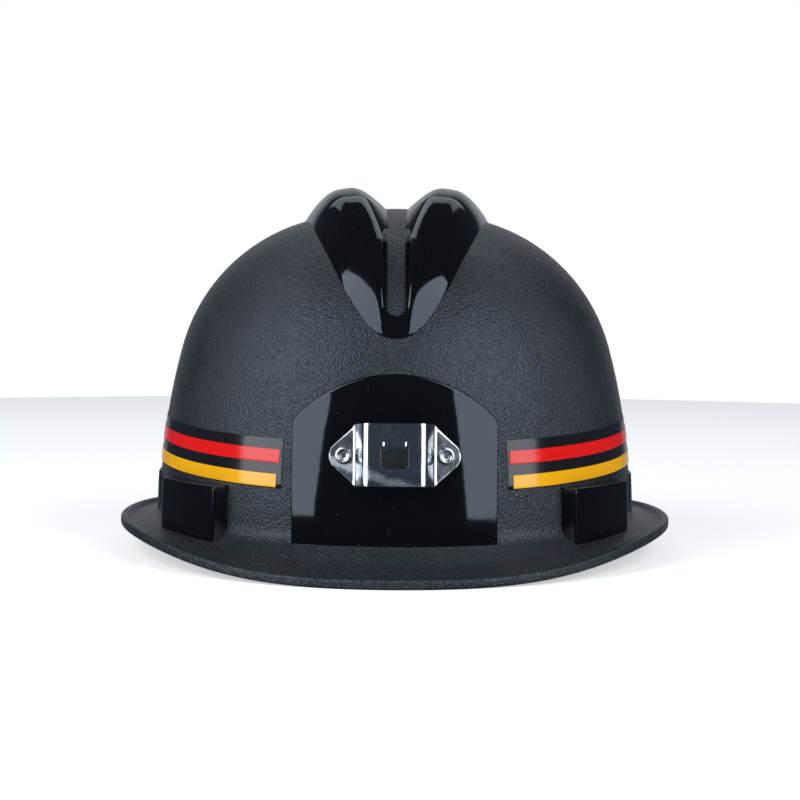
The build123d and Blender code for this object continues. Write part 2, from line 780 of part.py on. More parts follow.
def click_ring():
    """Spring ring on the boss, with two raised noses that click in the knob."""
    start = boss_face + fit_gap
    ring = along_y(click_ring_outer, start, start + click_ring_thickness)
    ring -= along_y(click_ring_inner, start - 1, start + 2)
    middle = (click_ring_inner + click_ring_outer) / 2
    for side in (-1, 1):
        ring += along_y(click_nose, start, start + click_ring_thickness + click_nose_rise, side * middle)
    return ring


def nape_pad():
    """Soft pad on the housing's face towards the head."""
    near = -cavity_half_gap - housing_wall - fit_gap
    low, high = nape_z - housing_half_height, nape_z + housing_half_height
    pad = band_ring(near - nape_pad_thickness, near, low, high)
    return pad & window(housing_half_width + 4, housing_half_height)


# ---- rear cable clip ----
def cable_clip():
    """Hook of sheet steel at the back that holds the lamp's cable against the shell."""
    top = clip_drop / 2 + washer_radius
    bend = -clip_drop / 2
    reach = clip_gap + clip_sheet
    line = Polyline(
        (fit_gap, top),
        (fit_gap, bend),
        (fit_gap + reach * 0.3, bend - clip_bend),
        (fit_gap + reach * 0.7, bend - clip_bend),
        (fit_gap + reach, bend),
        (fit_gap + reach, bend + clip_return),
        (fit_gap + reach + clip_flare_out, bend + clip_return + clip_flare_up),
    )
    strip = make_face(offset(line, amount=clip_sheet, side=Side.LEFT, kind=Kind.INTERSECTION))
    sideways = Plane(origin=(0, 0, 0), x_dir=(0, 0, 1), z_dir=(-1, 0, 0))
    plate = extrude(sideways * strip, clip_width / 2, both=True)
    plate -= Pos(0, clip_drop / 2, 0) * Cylinder(rivet_radius + fit_gap, 12)
    return clip_frame * plate


os.makedirs("parts", exist_ok=True)
if __name__ == "__main__":
    write("shell", shell())
    write("lamp_bracket", lamp_bracket())
    write("bracket_rivets", Compound([rivet_frame(side) * rivet(wall_grip) for side in (-1, 1)]))
    write("rivet_washers", Compound([rivet_frame(side) * washer(wall_grip) for side in (-1, 1)]))
    write("tape_left", tape(-1, 0, tape_height, fit_gap, tape_film))
    write("tape_right", tape(1, 0, tape_height, fit_gap, tape_film))
    write("red_stripes", stripes(red_offset))
    write("yellow_stripes", stripes(yellow_offset))
    write("hanger_keys", Compound([hanger_key(side, end) for side, end in corners]))
    write("crown_strap_lower", crown_strap(1, 0))
    write("crown_strap_upper", crown_strap(-1, strap_step))
    write("crown_pad", crown_pad())
    write("headband", headband())
    write("brow_pad", brow_pad())
    write("band_tail_left", band_tail(-1))
    write("band_tail_right", band_tail(1))
    write("ratchet_housing", ratchet_housing())
    write("ratchet_cover", ratchet_cover())
    write("cover_screws", cover_screws())
    write("pinion", pinion())
    write("adjust_knob", adjust_knob())
    write("knob_screw", knob_screw())
    write("click_ring", click_ring())
    write("nape_pad", nape_pad())
    write("cable_clip", cable_clip())
    write("clip_rivet", clip_rivet_frame * rivet(clip_grip))
    write("clip_washer", clip_rivet_frame * washer(clip_grip))
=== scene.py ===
"""Full-brim safety helmet with a cap-lamp bracket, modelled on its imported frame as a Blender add-on."""

import math

import bpy
from mathutils import Matrix, Vector


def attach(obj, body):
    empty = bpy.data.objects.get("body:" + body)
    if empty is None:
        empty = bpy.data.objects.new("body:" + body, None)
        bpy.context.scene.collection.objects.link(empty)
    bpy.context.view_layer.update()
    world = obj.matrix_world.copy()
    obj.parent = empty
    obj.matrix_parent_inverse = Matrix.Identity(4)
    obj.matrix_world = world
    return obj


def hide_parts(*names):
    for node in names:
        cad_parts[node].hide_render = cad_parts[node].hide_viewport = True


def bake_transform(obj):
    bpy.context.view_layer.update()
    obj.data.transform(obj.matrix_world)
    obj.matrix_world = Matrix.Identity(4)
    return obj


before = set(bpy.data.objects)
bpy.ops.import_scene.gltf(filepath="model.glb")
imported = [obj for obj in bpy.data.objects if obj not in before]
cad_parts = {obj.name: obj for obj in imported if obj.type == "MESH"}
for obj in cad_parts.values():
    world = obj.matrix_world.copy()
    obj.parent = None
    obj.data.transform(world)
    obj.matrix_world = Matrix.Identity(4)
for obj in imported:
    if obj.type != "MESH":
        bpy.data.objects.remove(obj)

bl_info = {
    "name": "Safety Helmet",
    "version": (1, 0, 0),
    "blender": (4, 5, 0),
    "location": "3D View > Sidebar > Helmet",
    "description": "Models a full-brim safety helmet with crown ridges, a lamp bracket and a suspension",
    "category": "Add Mesh",
}

# ---- the shell's outline, the same three tangent arcs as the frame's, in metres ----
HALF_WIDTH = 0.110
HALF_LENGTH = 0.122
DOME_HEIGHT = 0.141
SIDE_RADIUS = 0.290
SHOULDER_RADIUS = 0.083
CROWN_RADIUS = 0.150
ROOT = 0.016
WALL = 0.0025
STRETCH = HALF_LENGTH / HALF_WIDTH
BRIM_WIDTH = 0.128
BRIM_LENGTH = 0.150
BRIM_THICKNESS = 0.0024
RIM_SIDE = 0.011
ARC_UNIT = 0.115  # metres round the dome for each radian in plan

# ---- where the fitted pieces sit ----
BLOCK_X, BLOCK_Y = 0.0905, 0.079
BRACKET_Z = 0.052
PANEL_PROUD = 0.0025
PLATE_GAP = 0.0065
SHEET = 0.0015
RIVET_X = 0.0209
BLADE_MIDDLE = -WALL * STRETCH - 0.0036 - 0.0013
BAR_TOP = 0.043
STRAP_WIDTH = 0.019
STRAP_THICKNESS = 0.0012
STRAP_APEX = 0.118
BAND_WIDTH, BAND_LENGTH, BAND_Y = 0.079, 0.095, -0.008
FIT_GAP = 0.00005
TAPE_X, TAPE_Z = 0.0475, 0.0366  # the tapes' lower front corner


def solve_arcs():
    """Centre, radius, start and end angle of the dome's three arcs, with height above the brim root."""
    side = Vector((HALF_WIDTH - SIDE_RADIUS, 0))
    crown = Vector((0, DOME_HEIGHT - CROWN_RADIUS))
    between = crown - side
    near = SIDE_RADIUS - SHOULDER_RADIUS
    far = CROWN_RADIUS - SHOULDER_RADIUS
    share = (near**2 - far**2 + between.length**2) / (2 * between.length)
    across = Vector((-between.y, between.x)).normalized() * math.sqrt(near**2 - share**2)
    shoulder = side + between.normalized() * share + across
    first = math.atan2((shoulder - side).y, (shoulder - side).x)
    second = math.atan2((shoulder - crown).y, (shoulder - crown).x)
    return (
        (side, SIDE_RADIUS, 0.0, first),
        (shoulder, SHOULDER_RADIUS, first, second),
        (crown, CROWN_RADIUS, second, math.pi / 2),
    )


ARCS = solve_arcs()


def ring_radius(z, grow=0.0):
    """The dome's radius across at a height, before it is stretched to its length."""
    up = z - ROOT
    if up <= 0:
        return HALF_WIDTH + grow
    for centre, radius, _, end in ARCS:
        if up <= centre.y + (radius + grow) * math.sin(end) + 1e-9:
            return centre.x + math.sqrt(max((radius + grow) ** 2 - (up - centre.y) ** 2, 0))
    return 0.0


def dome_profile(grow, counts):
    """Points of the dome's outline from the crown to the root, as radius and height."""
    points = []
    for (centre, radius, start, end), count in zip(reversed(ARCS), counts):
        reach = radius + grow
        for step in range(count):
            angle = end + (start - end) * step / count
            points.append((centre.x + reach * math.cos(angle), ROOT + centre.y + reach * math.sin(angle)))
    return points


def surface_y(x, z, grow=0.0):
    """How far the dome's surface stands from the XZ plane."""
    return STRETCH * math.sqrt(max(ring_radius(z, grow) ** 2 - x**2, 0))


def on_dome(arc, z, grow=0.0):
    """Point on the dome, at a distance round it from the front and a height."""
    radius = ring_radius(z, grow)
    turn = arc / ARC_UNIT
    return Vector((radius * math.sin(turn), -STRETCH * radius * math.cos(turn), z))


def surface_reach(x, angle):
    """How far the dome is from the brim root's middle line, at an angle above the root."""
    low, high = 0.0, 2 * DOME_HEIGHT
    for _ in range(26):
        middle = (low + high) / 2
        across = math.hypot(x, middle * math.cos(angle) / STRETCH)
        low, high = (middle, high) if across < ring_radius(ROOT + middle * math.sin(angle)) else (low, middle)
    return low


def surface_matrix(z, half_height, end, grow):
    """Frame on the dome's middle line: X across, Y up along the surface, Z outward."""
    fall = surface_y(0, z - half_height, grow) - surface_y(0, z + half_height, grow)
    lean = math.atan2(fall, 2 * half_height)
    rises = (-half_height, 0, half_height)
    heights = (surface_y(0, z + rise, grow) + rise * math.tan(lean) for rise in rises)
    outward = Vector((0, end * math.cos(lean), math.sin(lean)))
    across = Vector((-end, 0, 0))
    turn = Matrix((across, outward.cross(across), outward)).transposed().to_4x4()
    return Matrix.Translation((0, end * max(heights), z)) @ turn


def block_matrix(side, end):
    """Frame on the dome at a key block: X along the dome, Y outward, Z up."""
    turn = math.atan2(BLOCK_Y / HALF_LENGTH**2, BLOCK_X / HALF_WIDTH**2)
    outward = Vector((side * math.cos(turn), end * math.sin(turn), 0))
    ring = math.hypot(BLOCK_X / HALF_WIDTH, BLOCK_Y / HALF_LENGTH)
    axes = (outward.cross(Vector((0, 0, 1))), outward, Vector((0, 0, 1)))
    turned = Matrix(axes).transposed().to_4x4()
    return Matrix.Translation((side * BLOCK_X / ring, end * BLOCK_Y / ring, 0)) @ turned


def ease(stops, values, at):
    """Smooth curve through the values at their stops."""
    if at <= stops[0]:
        return values[0]
    if at >= stops[-1]:
        return values[-1]
    k = max(i for i, stop in enumerate(stops[:-1]) if stop <= at)
    slopes = []
    for i in (k, k + 1):
        a, b = max(i - 1, 0), min(i + 1, len(stops) - 1)
        slopes.append((values[b] - values[a]) / (stops[b] - stops[a]))
    span = stops[k + 1] - stops[k]
    t = (at - stops[k]) / span
    return (
        values[k] * (1 + 2 * t) * (1 - t) ** 2
        + values[k + 1] * t * t * (3 - 2 * t)
        + span * (slopes[0] * t * (1 - t) ** 2 - slopes[1] * t * t * (1 - t))
    )


def clamp(value, low=0.0, high=1.0):
    return max(low, min(high, value))


# ---- modelling ----
def only(piece):
    """Selects this piece alone and makes it active."""
    bpy.ops.object.select_all(action="DESELECT")
    piece.select_set(True)
    bpy.context.view_layer.objects.active = piece


def formed_grid(name, columns, rows, place, outward=True):
    """Grid whose points go to place(u, v), with u and v from 0 to 1; its seams and poles are merged."""
    bpy.ops.object.select_all(action="DESELECT")
    bpy.ops.mesh.primitive_grid_add(x_subdivisions=columns, y_subdivisions=rows, size=1, location=(0, 0, 0))
    piece = bpy.context.object
    piece.name = name
    for vertex in piece.data.vertices:
        u = round((vertex.co.x + 0.5) * columns) / columns
        v = round((vertex.co.y + 0.5) * rows) / rows
        vertex.co = place(u, v)
    bpy.ops.object.mode_set(mode="EDIT")
    bpy.ops.mesh.select_all(action="SELECT")
    bpy.ops.mesh.remove_doubles(threshold=1e-6)
    if outward:
        bpy.ops.mesh.normals_make_consistent(inside=False)
    bpy.ops.object.mode_set(mode="OBJECT")
    bpy.ops.object.shade_smooth()
    return piece


def apply(piece, kind, **settings):
    """Adds a modifier with its settings and applies it."""
    only(piece)
    modifier = piece.modifiers.new(kind.title(), kind)
    for key, value in settings.items():
        setattr(modifier, key, value)
    bpy.ops.object.modifier_apply(modifier=modifier.name)


def soften(piece, width, segments=3, angle=35):
    """Rounds the piece's edges and smooths its faces."""
    limit = math.radians(angle)
    apply(piece, "BEVEL", width=width, segments=segments, limit_method="ANGLE", angle_limit=limit)
    only(piece)
    bpy.ops.object.shade_smooth_by_angle(angle=limit)


def settle(piece, matrix):
    """Places the piece by its mesh, so that its object stays at the origin."""
    piece.data.transform(matrix)
    piece.matrix_world = Matrix.Identity(4)


def joined(name, pieces):
    """One piece made of several."""
    only(pieces[0])
    for piece in pieces[1:]:
        piece.select_set(True)
    bpy.ops.object.join()
    pieces[0].name = name
    return pieces[0]


def copied(piece, name, matrix):
    """Copy of a piece with its own mesh, placed by a matrix."""
    twin = piece.copy()
    twin.data = piece.data.copy()
    twin.name = name
    bpy.context.collection.objects.link(twin)
    settle(twin, matrix)
    if matrix.determinant() < 0:
        twin.data.flip_normals()
    return twin


def node_copy(node, name, width, segments=2):
    """Merged copy of a frame node with its edges rounded."""
    source = bpy.data.objects[node]
    bpy.ops.object.select_all(action="DESELECT")
    twin = bpy.data.objects.new(name, source.data.copy())
    twin.data.materials.clear()
    bpy.context.collection.objects.link(twin)
    only(twin)
    bpy.ops.object.mode_set(mode="EDIT")
    bpy.ops.mesh.select_all(action="SELECT")
    bpy.ops.mesh.remove_doubles(threshold=1e-6)
    bpy.ops.object.mode_set(mode="OBJECT")
    if width:
        soften(twin, width, segments)
    else:
        bpy.ops.object.shade_smooth_by_angle(angle=math.radians(35))
    return twin


def finish_piece(piece, body, slot, *nodes, finish=None):
    """Gives a piece its body, one material (the finish, or else the slot's own) and hides the frame nodes
    that it stands for.
    """
    piece.data.materials.clear()
    piece.data.materials.append(material_of(finish or slot))
    if body:
        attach(piece, body)
    if nodes:
        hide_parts(*nodes)
    return piece


# ---- finishes ----
class Signal:
    """A value socket that takes part in arithmetic; each operation adds a Math node."""

    def __init__(self, finish, socket):
        self.finish = finish
        self.socket = socket

    def maths(self, operation, *values):
        return self.finish.node("ShaderNodeMath", {"operation": operation}, dict(enumerate(values)))

    def __add__(self, other):
        return self.maths("ADD", self, other)

    __radd__ = __add__

    def __sub__(self, other):
        return self.maths("SUBTRACT", self, other)

    def __rsub__(self, other):
        return self.maths("SUBTRACT", other, self)

    def __mul__(self, other):
        return self.maths("MULTIPLY", self, other)

    __rmul__ = __mul__

    def above(self, limit):
        return self.maths("GREATER_THAN", self, limit)

    def below(self, limit):
        return self.maths("LESS_THAN", self, limit)

    def sine(self):
        return self.maths("SINE", self)

    def within(self, low, high):
        """0 at low, 1 at high, and smooth between."""
        settings = {"interpolation_type": "SMOOTHSTEP"}
        sockets = {"Value": self, "From Min": low, "From Max": high}
        return self.finish.node("ShaderNodeMapRange", settings, sockets)

    def repeat(self, size):
        """Distance to the middle of the nearest cell of a size, from 0 to half of it."""
        return self.maths("PINGPONG", self, size / 2)


class Finish:
    """A node material in the making. Patterns read the piece's own coordinates in metres."""

    def __init__(self, name, colour, **constants):
        self.material = bpy.data.materials.new(name)
        self.material.use_nodes = True
        self.tree = self.material.node_tree
        self.shader = self.tree.nodes["Principled BSDF"]
        self.shader.inputs["Base Color"].default_value = (*colour, 1)
        for key, value in constants.items():
            self.shader.inputs[key.replace("_", " ").title().replace("Ior", "IOR")].default_value = value
        self.place = self.node("ShaderNodeTexCoord", {}, {}, "Object")

    def node(self, kind, settings, sockets, output=0):
        """Adds a node with its settings, then its sockets' values or links, and gives back one output."""
        made = self.tree.nodes.new(kind)
        for key, value in settings.items():
            setattr(made, key, value)
        for key, value in sockets.items():
            if isinstance(value, Signal):
                self.tree.links.new(value.socket, made.inputs[key])
            else:
                made.inputs[key].default_value = value
        return Signal(self, made.outputs[output])

    def noise(self, size, detail=2.0, place=None, roughness=0.5):
        """Soft noise with features of about this size."""
        sockets = {"Vector": place or self.place, "Scale": 1 / size, "Detail": detail, "Roughness": roughness}
        return self.node("ShaderNodeTexNoise", {}, sockets, "Fac")

    def cells(self, size, feature="F1", place=None, output="Distance"):
        """Cell pattern with cells of about this size."""
        sockets = {"Vector": place or self.place, "Scale": 1 / size}
        return self.node("ShaderNodeTexVoronoi", {"feature": feature}, sockets, output)

    def turned(self, angles, stretch=(1, 1, 1), place=None):
        """The coordinates, turned and stretched."""
        turn = tuple(math.radians(angle) for angle in angles)
        sockets = {"Vector": place or self.place, "Rotation": turn, "Scale": stretch}
        return self.node("ShaderNodeMapping", {}, sockets)

    def mix(self, share, first, second):
        """Colour between two colours."""
        sockets = {0: share}
        for key, value in ((6, first), (7, second)):
            sockets[key] = value if isinstance(value, Signal) else (*value, 1)
        return self.node("ShaderNodeMix", {"data_type": "RGBA"}, sockets, 2)

    def split(self, vector=None):
        """The three values of a vector."""
        first = self.node("ShaderNodeSeparateXYZ", {}, {"Vector": vector or self.place}, "X")
        outputs = first.socket.node.outputs
        return [Signal(self, outputs[axis]) for axis in "XYZ"]

    def feed(self, **sockets):
        """Links what changes over the surface to the shader."""
        for key, value in sockets.items():
            self.tree.links.new(value.socket, self.shader.inputs[key.replace("_", " ").title()])

    def relief(self, *layers):
        """Bump from layers of height, strength and depth."""
        normal = None
        for height, strength, depth in layers:
            sockets = {"Height": height, "Strength": strength, "Distance": depth}
            if normal:
                sockets["Normal"] = normal
            normal = self.node("ShaderNodeBump", {}, sockets)
        self.feed(normal=normal)


def grained_shell(colour, grain):
    """Moulded black plastic with a fine leather grain, a little dust and rubbed patches."""
    # The bluish specular tint is a painted cool tint of the light in the shell's reflections.
    finish = Finish("shell_matte", colour, ior=1.5, specular_tint=(0.74, 0.85, 1.0, 1.0))
    wander = finish.noise(grain * 2.2, 1)
    pebbles = finish.cells(grain, "SMOOTH_F1")
    fine = finish.noise(grain * 0.55, 3)
    handled = finish.noise(0.045, 4)
    dust = finish.noise(0.0011, 2, roughness=0.7).within(0.70, 0.76) * handled.within(0.4, 0.7)
    warm = tuple(1.7 * part + 0.004 for part in colour)
    base = finish.mix(handled.within(0.35, 0.7), colour, warm)
    base = finish.mix(fine.within(0.45, 0.75), base, tuple(4.5 * part for part in colour))
    finish.feed(
        base_color=finish.mix(dust * 0.35, base, (0.16, 0.16, 0.16)),
        roughness=0.20 + handled * 0.08 + fine * 0.06,
    )
    finish.relief((pebbles, 1.0, 0.00042), (fine + wander * 0.3, 1.0, 0.00022))
    return finish.material


def polished_shell(colour):
    """The same plastic from a polished mould face, with faint ripples, hairlines and dust."""
    # The bluish specular tint is a painted cool tint of the light in the shell's reflections.
    finish = Finish("shell_gloss", colour, ior=1.5, specular_tint=(0.74, 0.85, 1.0, 1.0))
    ripple = finish.noise(0.018, 2)
    hairs = finish.noise(0.0006, 3, finish.turned((0, 20, 35), (1, 0.06, 1)), 0.6).within(0.66, 0.74)
    smears = finish.noise(0.03, 4).within(0.45, 0.75)
    dust = finish.noise(0.0009, 1).within(0.76, 0.80)
    finish.feed(
        base_color=finish.mix(dust * 0.3, colour, (0.2, 0.2, 0.2)),
        roughness=0.055 + smears * 0.05 + hairs * 0.07,
    )
    finish.relief((ripple, 0.25, 0.0003), (hairs, 0.05, 0.00003))
    return finish.material


def zinc_plate(colour):
    """Bright zinc plate with a bluish and straw tint, fine scratches and rubbed edges."""
    finish = Finish("zinc_steel", colour, metallic=1.0)
    tint = finish.noise(0.009, 3)
    down, up_and_over = finish.turned((12, 38, 25)), finish.turned((-8, -52, 15))
    scratches = finish.noise(0.00035, 3, finish.turned((0, 0, 0), (0.08, 1, 1), down), 0.6)
    crossing = finish.noise(0.0004, 3, finish.turned((0, 0, 0), (0.06, 1, 1), up_and_over), 0.6)
    marks = scratches.within(0.60, 0.72) + crossing.within(0.63, 0.74)
    across, _, up = finish.split()
    drift = up + across * 0.3 + finish.noise(0.006, 3) * 0.004 - 0.0438
    smear = 1 - finish.node("ShaderNodeMath", {"operation": "ABSOLUTE"}, {0: drift}).within(0.0004, 0.0034)
    spangle = finish.cells(0.0035, output="Color")
    spangle_value = finish.node("ShaderNodeSeparateColor", {}, {"Color": spangle}, "Red")
    straw = (min(colour[0] * 1.12, 1), min(colour[1] * 1.06, 1), colour[2] * 0.92)
    finish.feed(
        base_color=finish.mix(tint.within(0.4, 0.65), colour, straw),
        roughness=0.11 + spangle_value * 0.05 + tint * 0.05 + marks * 0.16 + smear * scratches * 0.45,
    )
    finish.relief((tint, 0.2, 0.0004), (marks, 0.12, 0.00003))
    return finish.material


def nickel_steel(colour):
    """Nickel-plated rivet and screw steel with turning marks and specks."""
    finish = Finish("rivet_steel", colour, metallic=1.0)
    cloud = finish.noise(0.002, 4)
    specks = finish.noise(0.0004, 2).within(0.62, 0.72)
    base = finish.mix(specks * 0.5, colour, (0.30, 0.29, 0.28))
    finish.feed(base_color=base, roughness=0.18 + cloud * 0.16)
    finish.relief((cloud, 0.25, 0.00008))
    return finish.material


def glossy_film(name, colour, second, cell):
    """Stuck-on film with a slight ripple, a fine bead pattern and small scuffs."""
    finish = Finish(name, colour, ior=1.5)
    ripple = finish.noise(0.012, 2)
    beads = finish.cells(cell)
    scuffs = finish.noise(0.0012, 4, finish.turned((0, 0, 0), (1, 1, 0.25))).within(0.62, 0.75)
    patch = finish.noise(0.02, 3)
    base = finish.mix(beads.within(0.1, 0.6) * 0.6 + patch * 0.25, colour, second)
    finish.feed(base_color=base, roughness=0.10 + patch * 0.06 + scuffs * 0.12)
    finish.relief((ripple, 0.2, 0.0003), (beads, 0.08, 0.00004))
    return finish.material


def satin_plastic(name, colour, grain, gloss):
    """Moulded plastic with a spark-eroded grain, flow marks and lighter rubbed places."""
    finish = Finish(name, colour, ior=1.49)
    fine = finish.noise(grain, 3)
    flow = finish.noise(0.02, 3, finish.turned((0, 0, 30), (1, 0.3, 1)))
    nicks = finish.noise(0.0016, 4, roughness=0.7).within(0.64, 0.72)
    worn = tuple(min(1.6 * part + 0.02, 1) for part in colour)
    base = finish.mix(flow.within(0.4, 0.8) * 0.35 + nicks * 0.3, colour, worn)
    finish.feed(base_color=base, roughness=gloss + fine * 0.14)
    finish.relief((fine, 0.35, 0.00006), (flow, 0.1, 0.0003))
    return finish.material


def woven_webbing(colour):
    """Polyester webbing with a herringbone weave that follows the strap."""
    finish = Finish("webbing", colour, sheen_weight=0.25, sheen_roughness=0.5)
    along, across, _ = finish.split(finish.node("ShaderNodeUVMap", {"uv_map": "UVMap"}, {}))
    slant = across.repeat(0.0048) * 1.4
    ribs = (along * 4200.0 + slant * 2600.0).sine()
    yarns = (across * 8200.0).sine()
    cloth = ribs * 0.5 + yarns * 0.35
    fuzz = finish.noise(0.0005, 3)
    lighter = tuple(2.2 * part + 0.01 for part in colour)
    base = finish.mix(cloth.within(-0.6, 0.9) * 0.7 + fuzz * 0.25, colour, lighter)
    finish.feed(base_color=base, roughness=0.72 + fuzz * 0.15)
    finish.relief((cloth, 0.7, 0.00025), (fuzz, 0.3, 0.0001))
    return finish.material


def knitted_mesh(colour):
    """Knitted spacer fabric with a honeycomb of small holes, which are painted darker as painted shade."""
    finish = Finish("pad_fabric", colour, sheen_weight=0.3, sheen_roughness=0.5)
    along, across, _ = finish.split(finish.node("ShaderNodeUVMap", {"uv_map": "UVMap"}, {}))
    rows = (along * 2100.0).sine() * (across * 2100.0).sine()
    holes = rows.within(0.15, 0.75)
    fuzz = finish.noise(0.0004, 3)
    lighter = tuple(2.0 * part + 0.01 for part in colour)
    # The holes are painted a quarter of the fabric's colour: painted shade inside them.
    base = finish.mix(holes, lighter, tuple(0.25 * part for part in colour))
    finish.feed(base_color=base, roughness=0.75 + fuzz * 0.15)
    finish.relief((1 - holes, 0.8, 0.0004), (fuzz, 0.3, 0.0001))
    return finish.material


def perforated_leather(colour):
    """Sweatband leather with pebble grain, creases and rows of punched holes, which are painted near black as
    painted shade.
    """
    finish = Finish("pad_leather", colour, sheen_weight=0.1, sheen_roughness=0.4)
    along, across, _ = finish.split(finish.node("ShaderNodeUVMap", {"uv_map": "UVMap"}, {}))
    near = finish.node("ShaderNodeCombineXYZ", {}, {"X": along.repeat(0.0045), "Y": across.repeat(0.0045)})
    middle = (0.00225, 0.00225, 0)
    away = finish.node("ShaderNodeVectorMath", {"operation": "DISTANCE"}, {0: near, 1: middle}, "Value")
    holes = 1 - away.within(0.00045, 0.00062)
    pebbles = finish.cells(0.0009, "SMOOTH_F1")
    crease = finish.noise(0.006, 4)
    worn = tuple(1.7 * part + 0.01 for part in colour)
    base = finish.mix(crease.within(0.4, 0.7), colour, worn)
    # The holes' near black is painted shade inside the punched holes.
    finish.feed(
        base_color=finish.mix(holes, base, (0.004, 0.004, 0.004)),
        roughness=0.45 + crease * 0.15 + pebbles * 0.1,
    )
    finish.relief((1 - holes, 0.8, 0.0004), (pebbles, 0.4, 0.00015), (crease, 0.25, 0.0005))
    return finish.material


def studio_floor(colour):
    """Matt pale floor with the slightest paper unevenness, which glows a little so that it stays white."""
    glow = {"emission_color": (1, 1, 1, 1), "emission_strength": 0.5}
    finish = Finish("floor_paper", colour, specular_ior_level=0.2, **glow)
    paper = finish.noise(0.05, 3)
    base = finish.mix(paper * 0.1, colour, tuple(0.96 * part for part in colour))
    finish.feed(base_color=base, roughness=0.85 + paper * 0.1)
    finish.relief((paper, 0.05, 0.0002))
    return finish.material


# ---- what a user may change ----
def length(name, default, description):
    return bpy.props.FloatProperty(
        name=name, description=description, default=default, min=0.0, unit="LENGTH", precision=5
    )


def colour(name, default, description):
    return bpy.props.FloatVectorProperty(
        name=name, description=description, default=default, size=3, min=0.0, max=1.0, subtype="COLOR"
    )


class HelmetSizes(bpy.types.PropertyGroup):
    """Sizes of the helmet's visible shapes."""

    grain: length("Shell grain", 0.00085, "Size of the leather grain's pebbles on the dome and brim")
    root_fillet: length("Brim fillet", 0.0045, "Rounding between the dome and the brim")
    apron_drop: length("Brim crease", 0.0012, "How far the brim dips at the crease round it")
    ridge_height: length("Ridge height", 0.0113, "Crown ridges above the dome")
    groove_half: length("Groove half width", 0.0034, "Half of the groove's floor between the ridges")
    panel_rim: length("Panel rim rounding", 0.0008, "Rounding of the lamp panel's edge")
    block_rounding: length("Block rounding", 0.0015, "Rounding of the key blocks' edges")
    bend_radius: length("Bracket bend", 0.0016, "Rounding of the bracket's bends")
    sheet_edge: length("Bracket edge", 0.0004, "Rounding of the bracket's cut edges")
    film: length("Tape film", 0.00022, "Thickness of the tape and of each stripe")
    stripe_width: length("Stripe width", 0.0056, "Height of the red and of the yellow stripe")
    moulded_edge: length("Moulded edge", 0.0004, "Rounding of the suspension's moulded edges")


class HelmetColours(bpy.types.PropertyGroup):
    """Colours of the helmet's finishes."""

    shell: colour("Shell", (0.0105, 0.0115, 0.0135), "Grained plastic of the dome and brim")
    polished: colour("Polished shell", (0.003, 0.0032, 0.0038), "Polished ridges, panel and blocks")
    zinc: colour("Zinc plate", (0.70, 0.75, 0.82), "Lamp bracket and cable clip")
    nickel: colour("Nickel plate", (0.66, 0.67, 0.69), "Rivets and screws")
    film: colour("Tape film", (0.006, 0.0065, 0.008), "Ground film of the side tapes")
    red: colour("Red stripe", (0.72, 0.012, 0.010), "Upper stripe")
    yellow: colour("Yellow stripe", (0.86, 0.42, 0.006), "Lower stripe")
    webbing: colour("Webbing", (0.020, 0.021, 0.024), "Crown straps")
    thread: colour("Thread", (0.10, 0.10, 0.11), "Stitching on the straps and pads")
    fabric: colour("Pad fabric", (0.030, 0.031, 0.035), "Crown cushion")
    leather: colour("Pad leather", (0.024, 0.018, 0.014), "Brow and nape pads")
    band: colour("Headband", (0.024, 0.025, 0.027), "Headband, keys and ratchet housing")
    knob: colour("Knob", (0.013, 0.013, 0.015), "Ratchet knob")
    gear: colour("Gear", (0.72, 0.71, 0.66), "Pinion in the ratchet")
    floor: colour("Floor", (0.90, 0.90, 0.90), "Studio floor")


FINISHES = {}


def material_of(name):
    """The named finish, made once from the scene's colours."""
    if name not in FINISHES:
        tints = bpy.context.scene.helmet_colours
        sizes = bpy.context.scene.helmet_sizes
        second_red, second_yellow = (0.62, 0.006, 0.006), (0.78, 0.36, 0.004)
        makers = {
            "shell_matte": lambda: grained_shell(tuple(tints.shell), sizes.grain),
            "shell_gloss": lambda: polished_shell(tuple(tints.polished)),
            "zinc_steel": lambda: zinc_plate(tuple(tints.zinc)),
            "rivet_steel": lambda: nickel_steel(tuple(tints.nickel)),
            "tape_black": lambda: glossy_film("tape_black", tuple(tints.film), (0.010, 0.010, 0.012), 0.0008),
            "stripe_red": lambda: glossy_film("stripe_red", tuple(tints.red), second_red, 0.0007),
            "stripe_yellow": lambda: glossy_film("stripe_yellow", tuple(tints.yellow), second_yellow, 0.0007),
            "webbing": lambda: woven_webbing(tuple(tints.webbing)),
            # The seat's light grey is a painted reflection: it stands in for light thrown onto the panel
            # behind the bracket window.
            "seat_painted_reflection": lambda: satin_plastic("seat_painted_reflection", (0.07, 0.075, 0.07), 0.0009, 0.42),
            "thread": lambda: satin_plastic("thread", tuple(tints.thread), 0.0003, 0.6),
            "pad_fabric": lambda: knitted_mesh(tuple(tints.fabric)),
            "pad_leather": lambda: perforated_leather(tuple(tints.leather)),
            "band_plastic": lambda: satin_plastic("band_plastic", tuple(tints.band), 0.0004, 0.38),
            "knob_plastic": lambda: satin_plastic("knob_plastic", tuple(tints.knob), 0.0003, 0.34),
            "gear_plastic": lambda: satin_plastic("gear_plastic", tuple(tints.gear), 0.0003, 0.36),
            "floor": lambda: studio_floor(tuple(tints.floor)),
        }
        FINISHES[name] = makers[name]()
    return FINISHES[name]


# ---- shell ----
def ring_point(radius, z, turn):
    return Vector((radius * math.cos(turn), STRETCH * radius * math.sin(turn), z))


def rim_point(inset, rise, turn):
    """Point on the brim's edge, which is high at the sides and low at the front and back."""
    high = math.cos(turn) ** 4 * (3 - 2 * math.cos(turn) ** 2)
    x, y = (BRIM_WIDTH - inset) * math.cos(turn), (BRIM_LENGTH - inset) * math.sin(turn)
    return Vector((x, y, RIM_SIDE * high + rise))


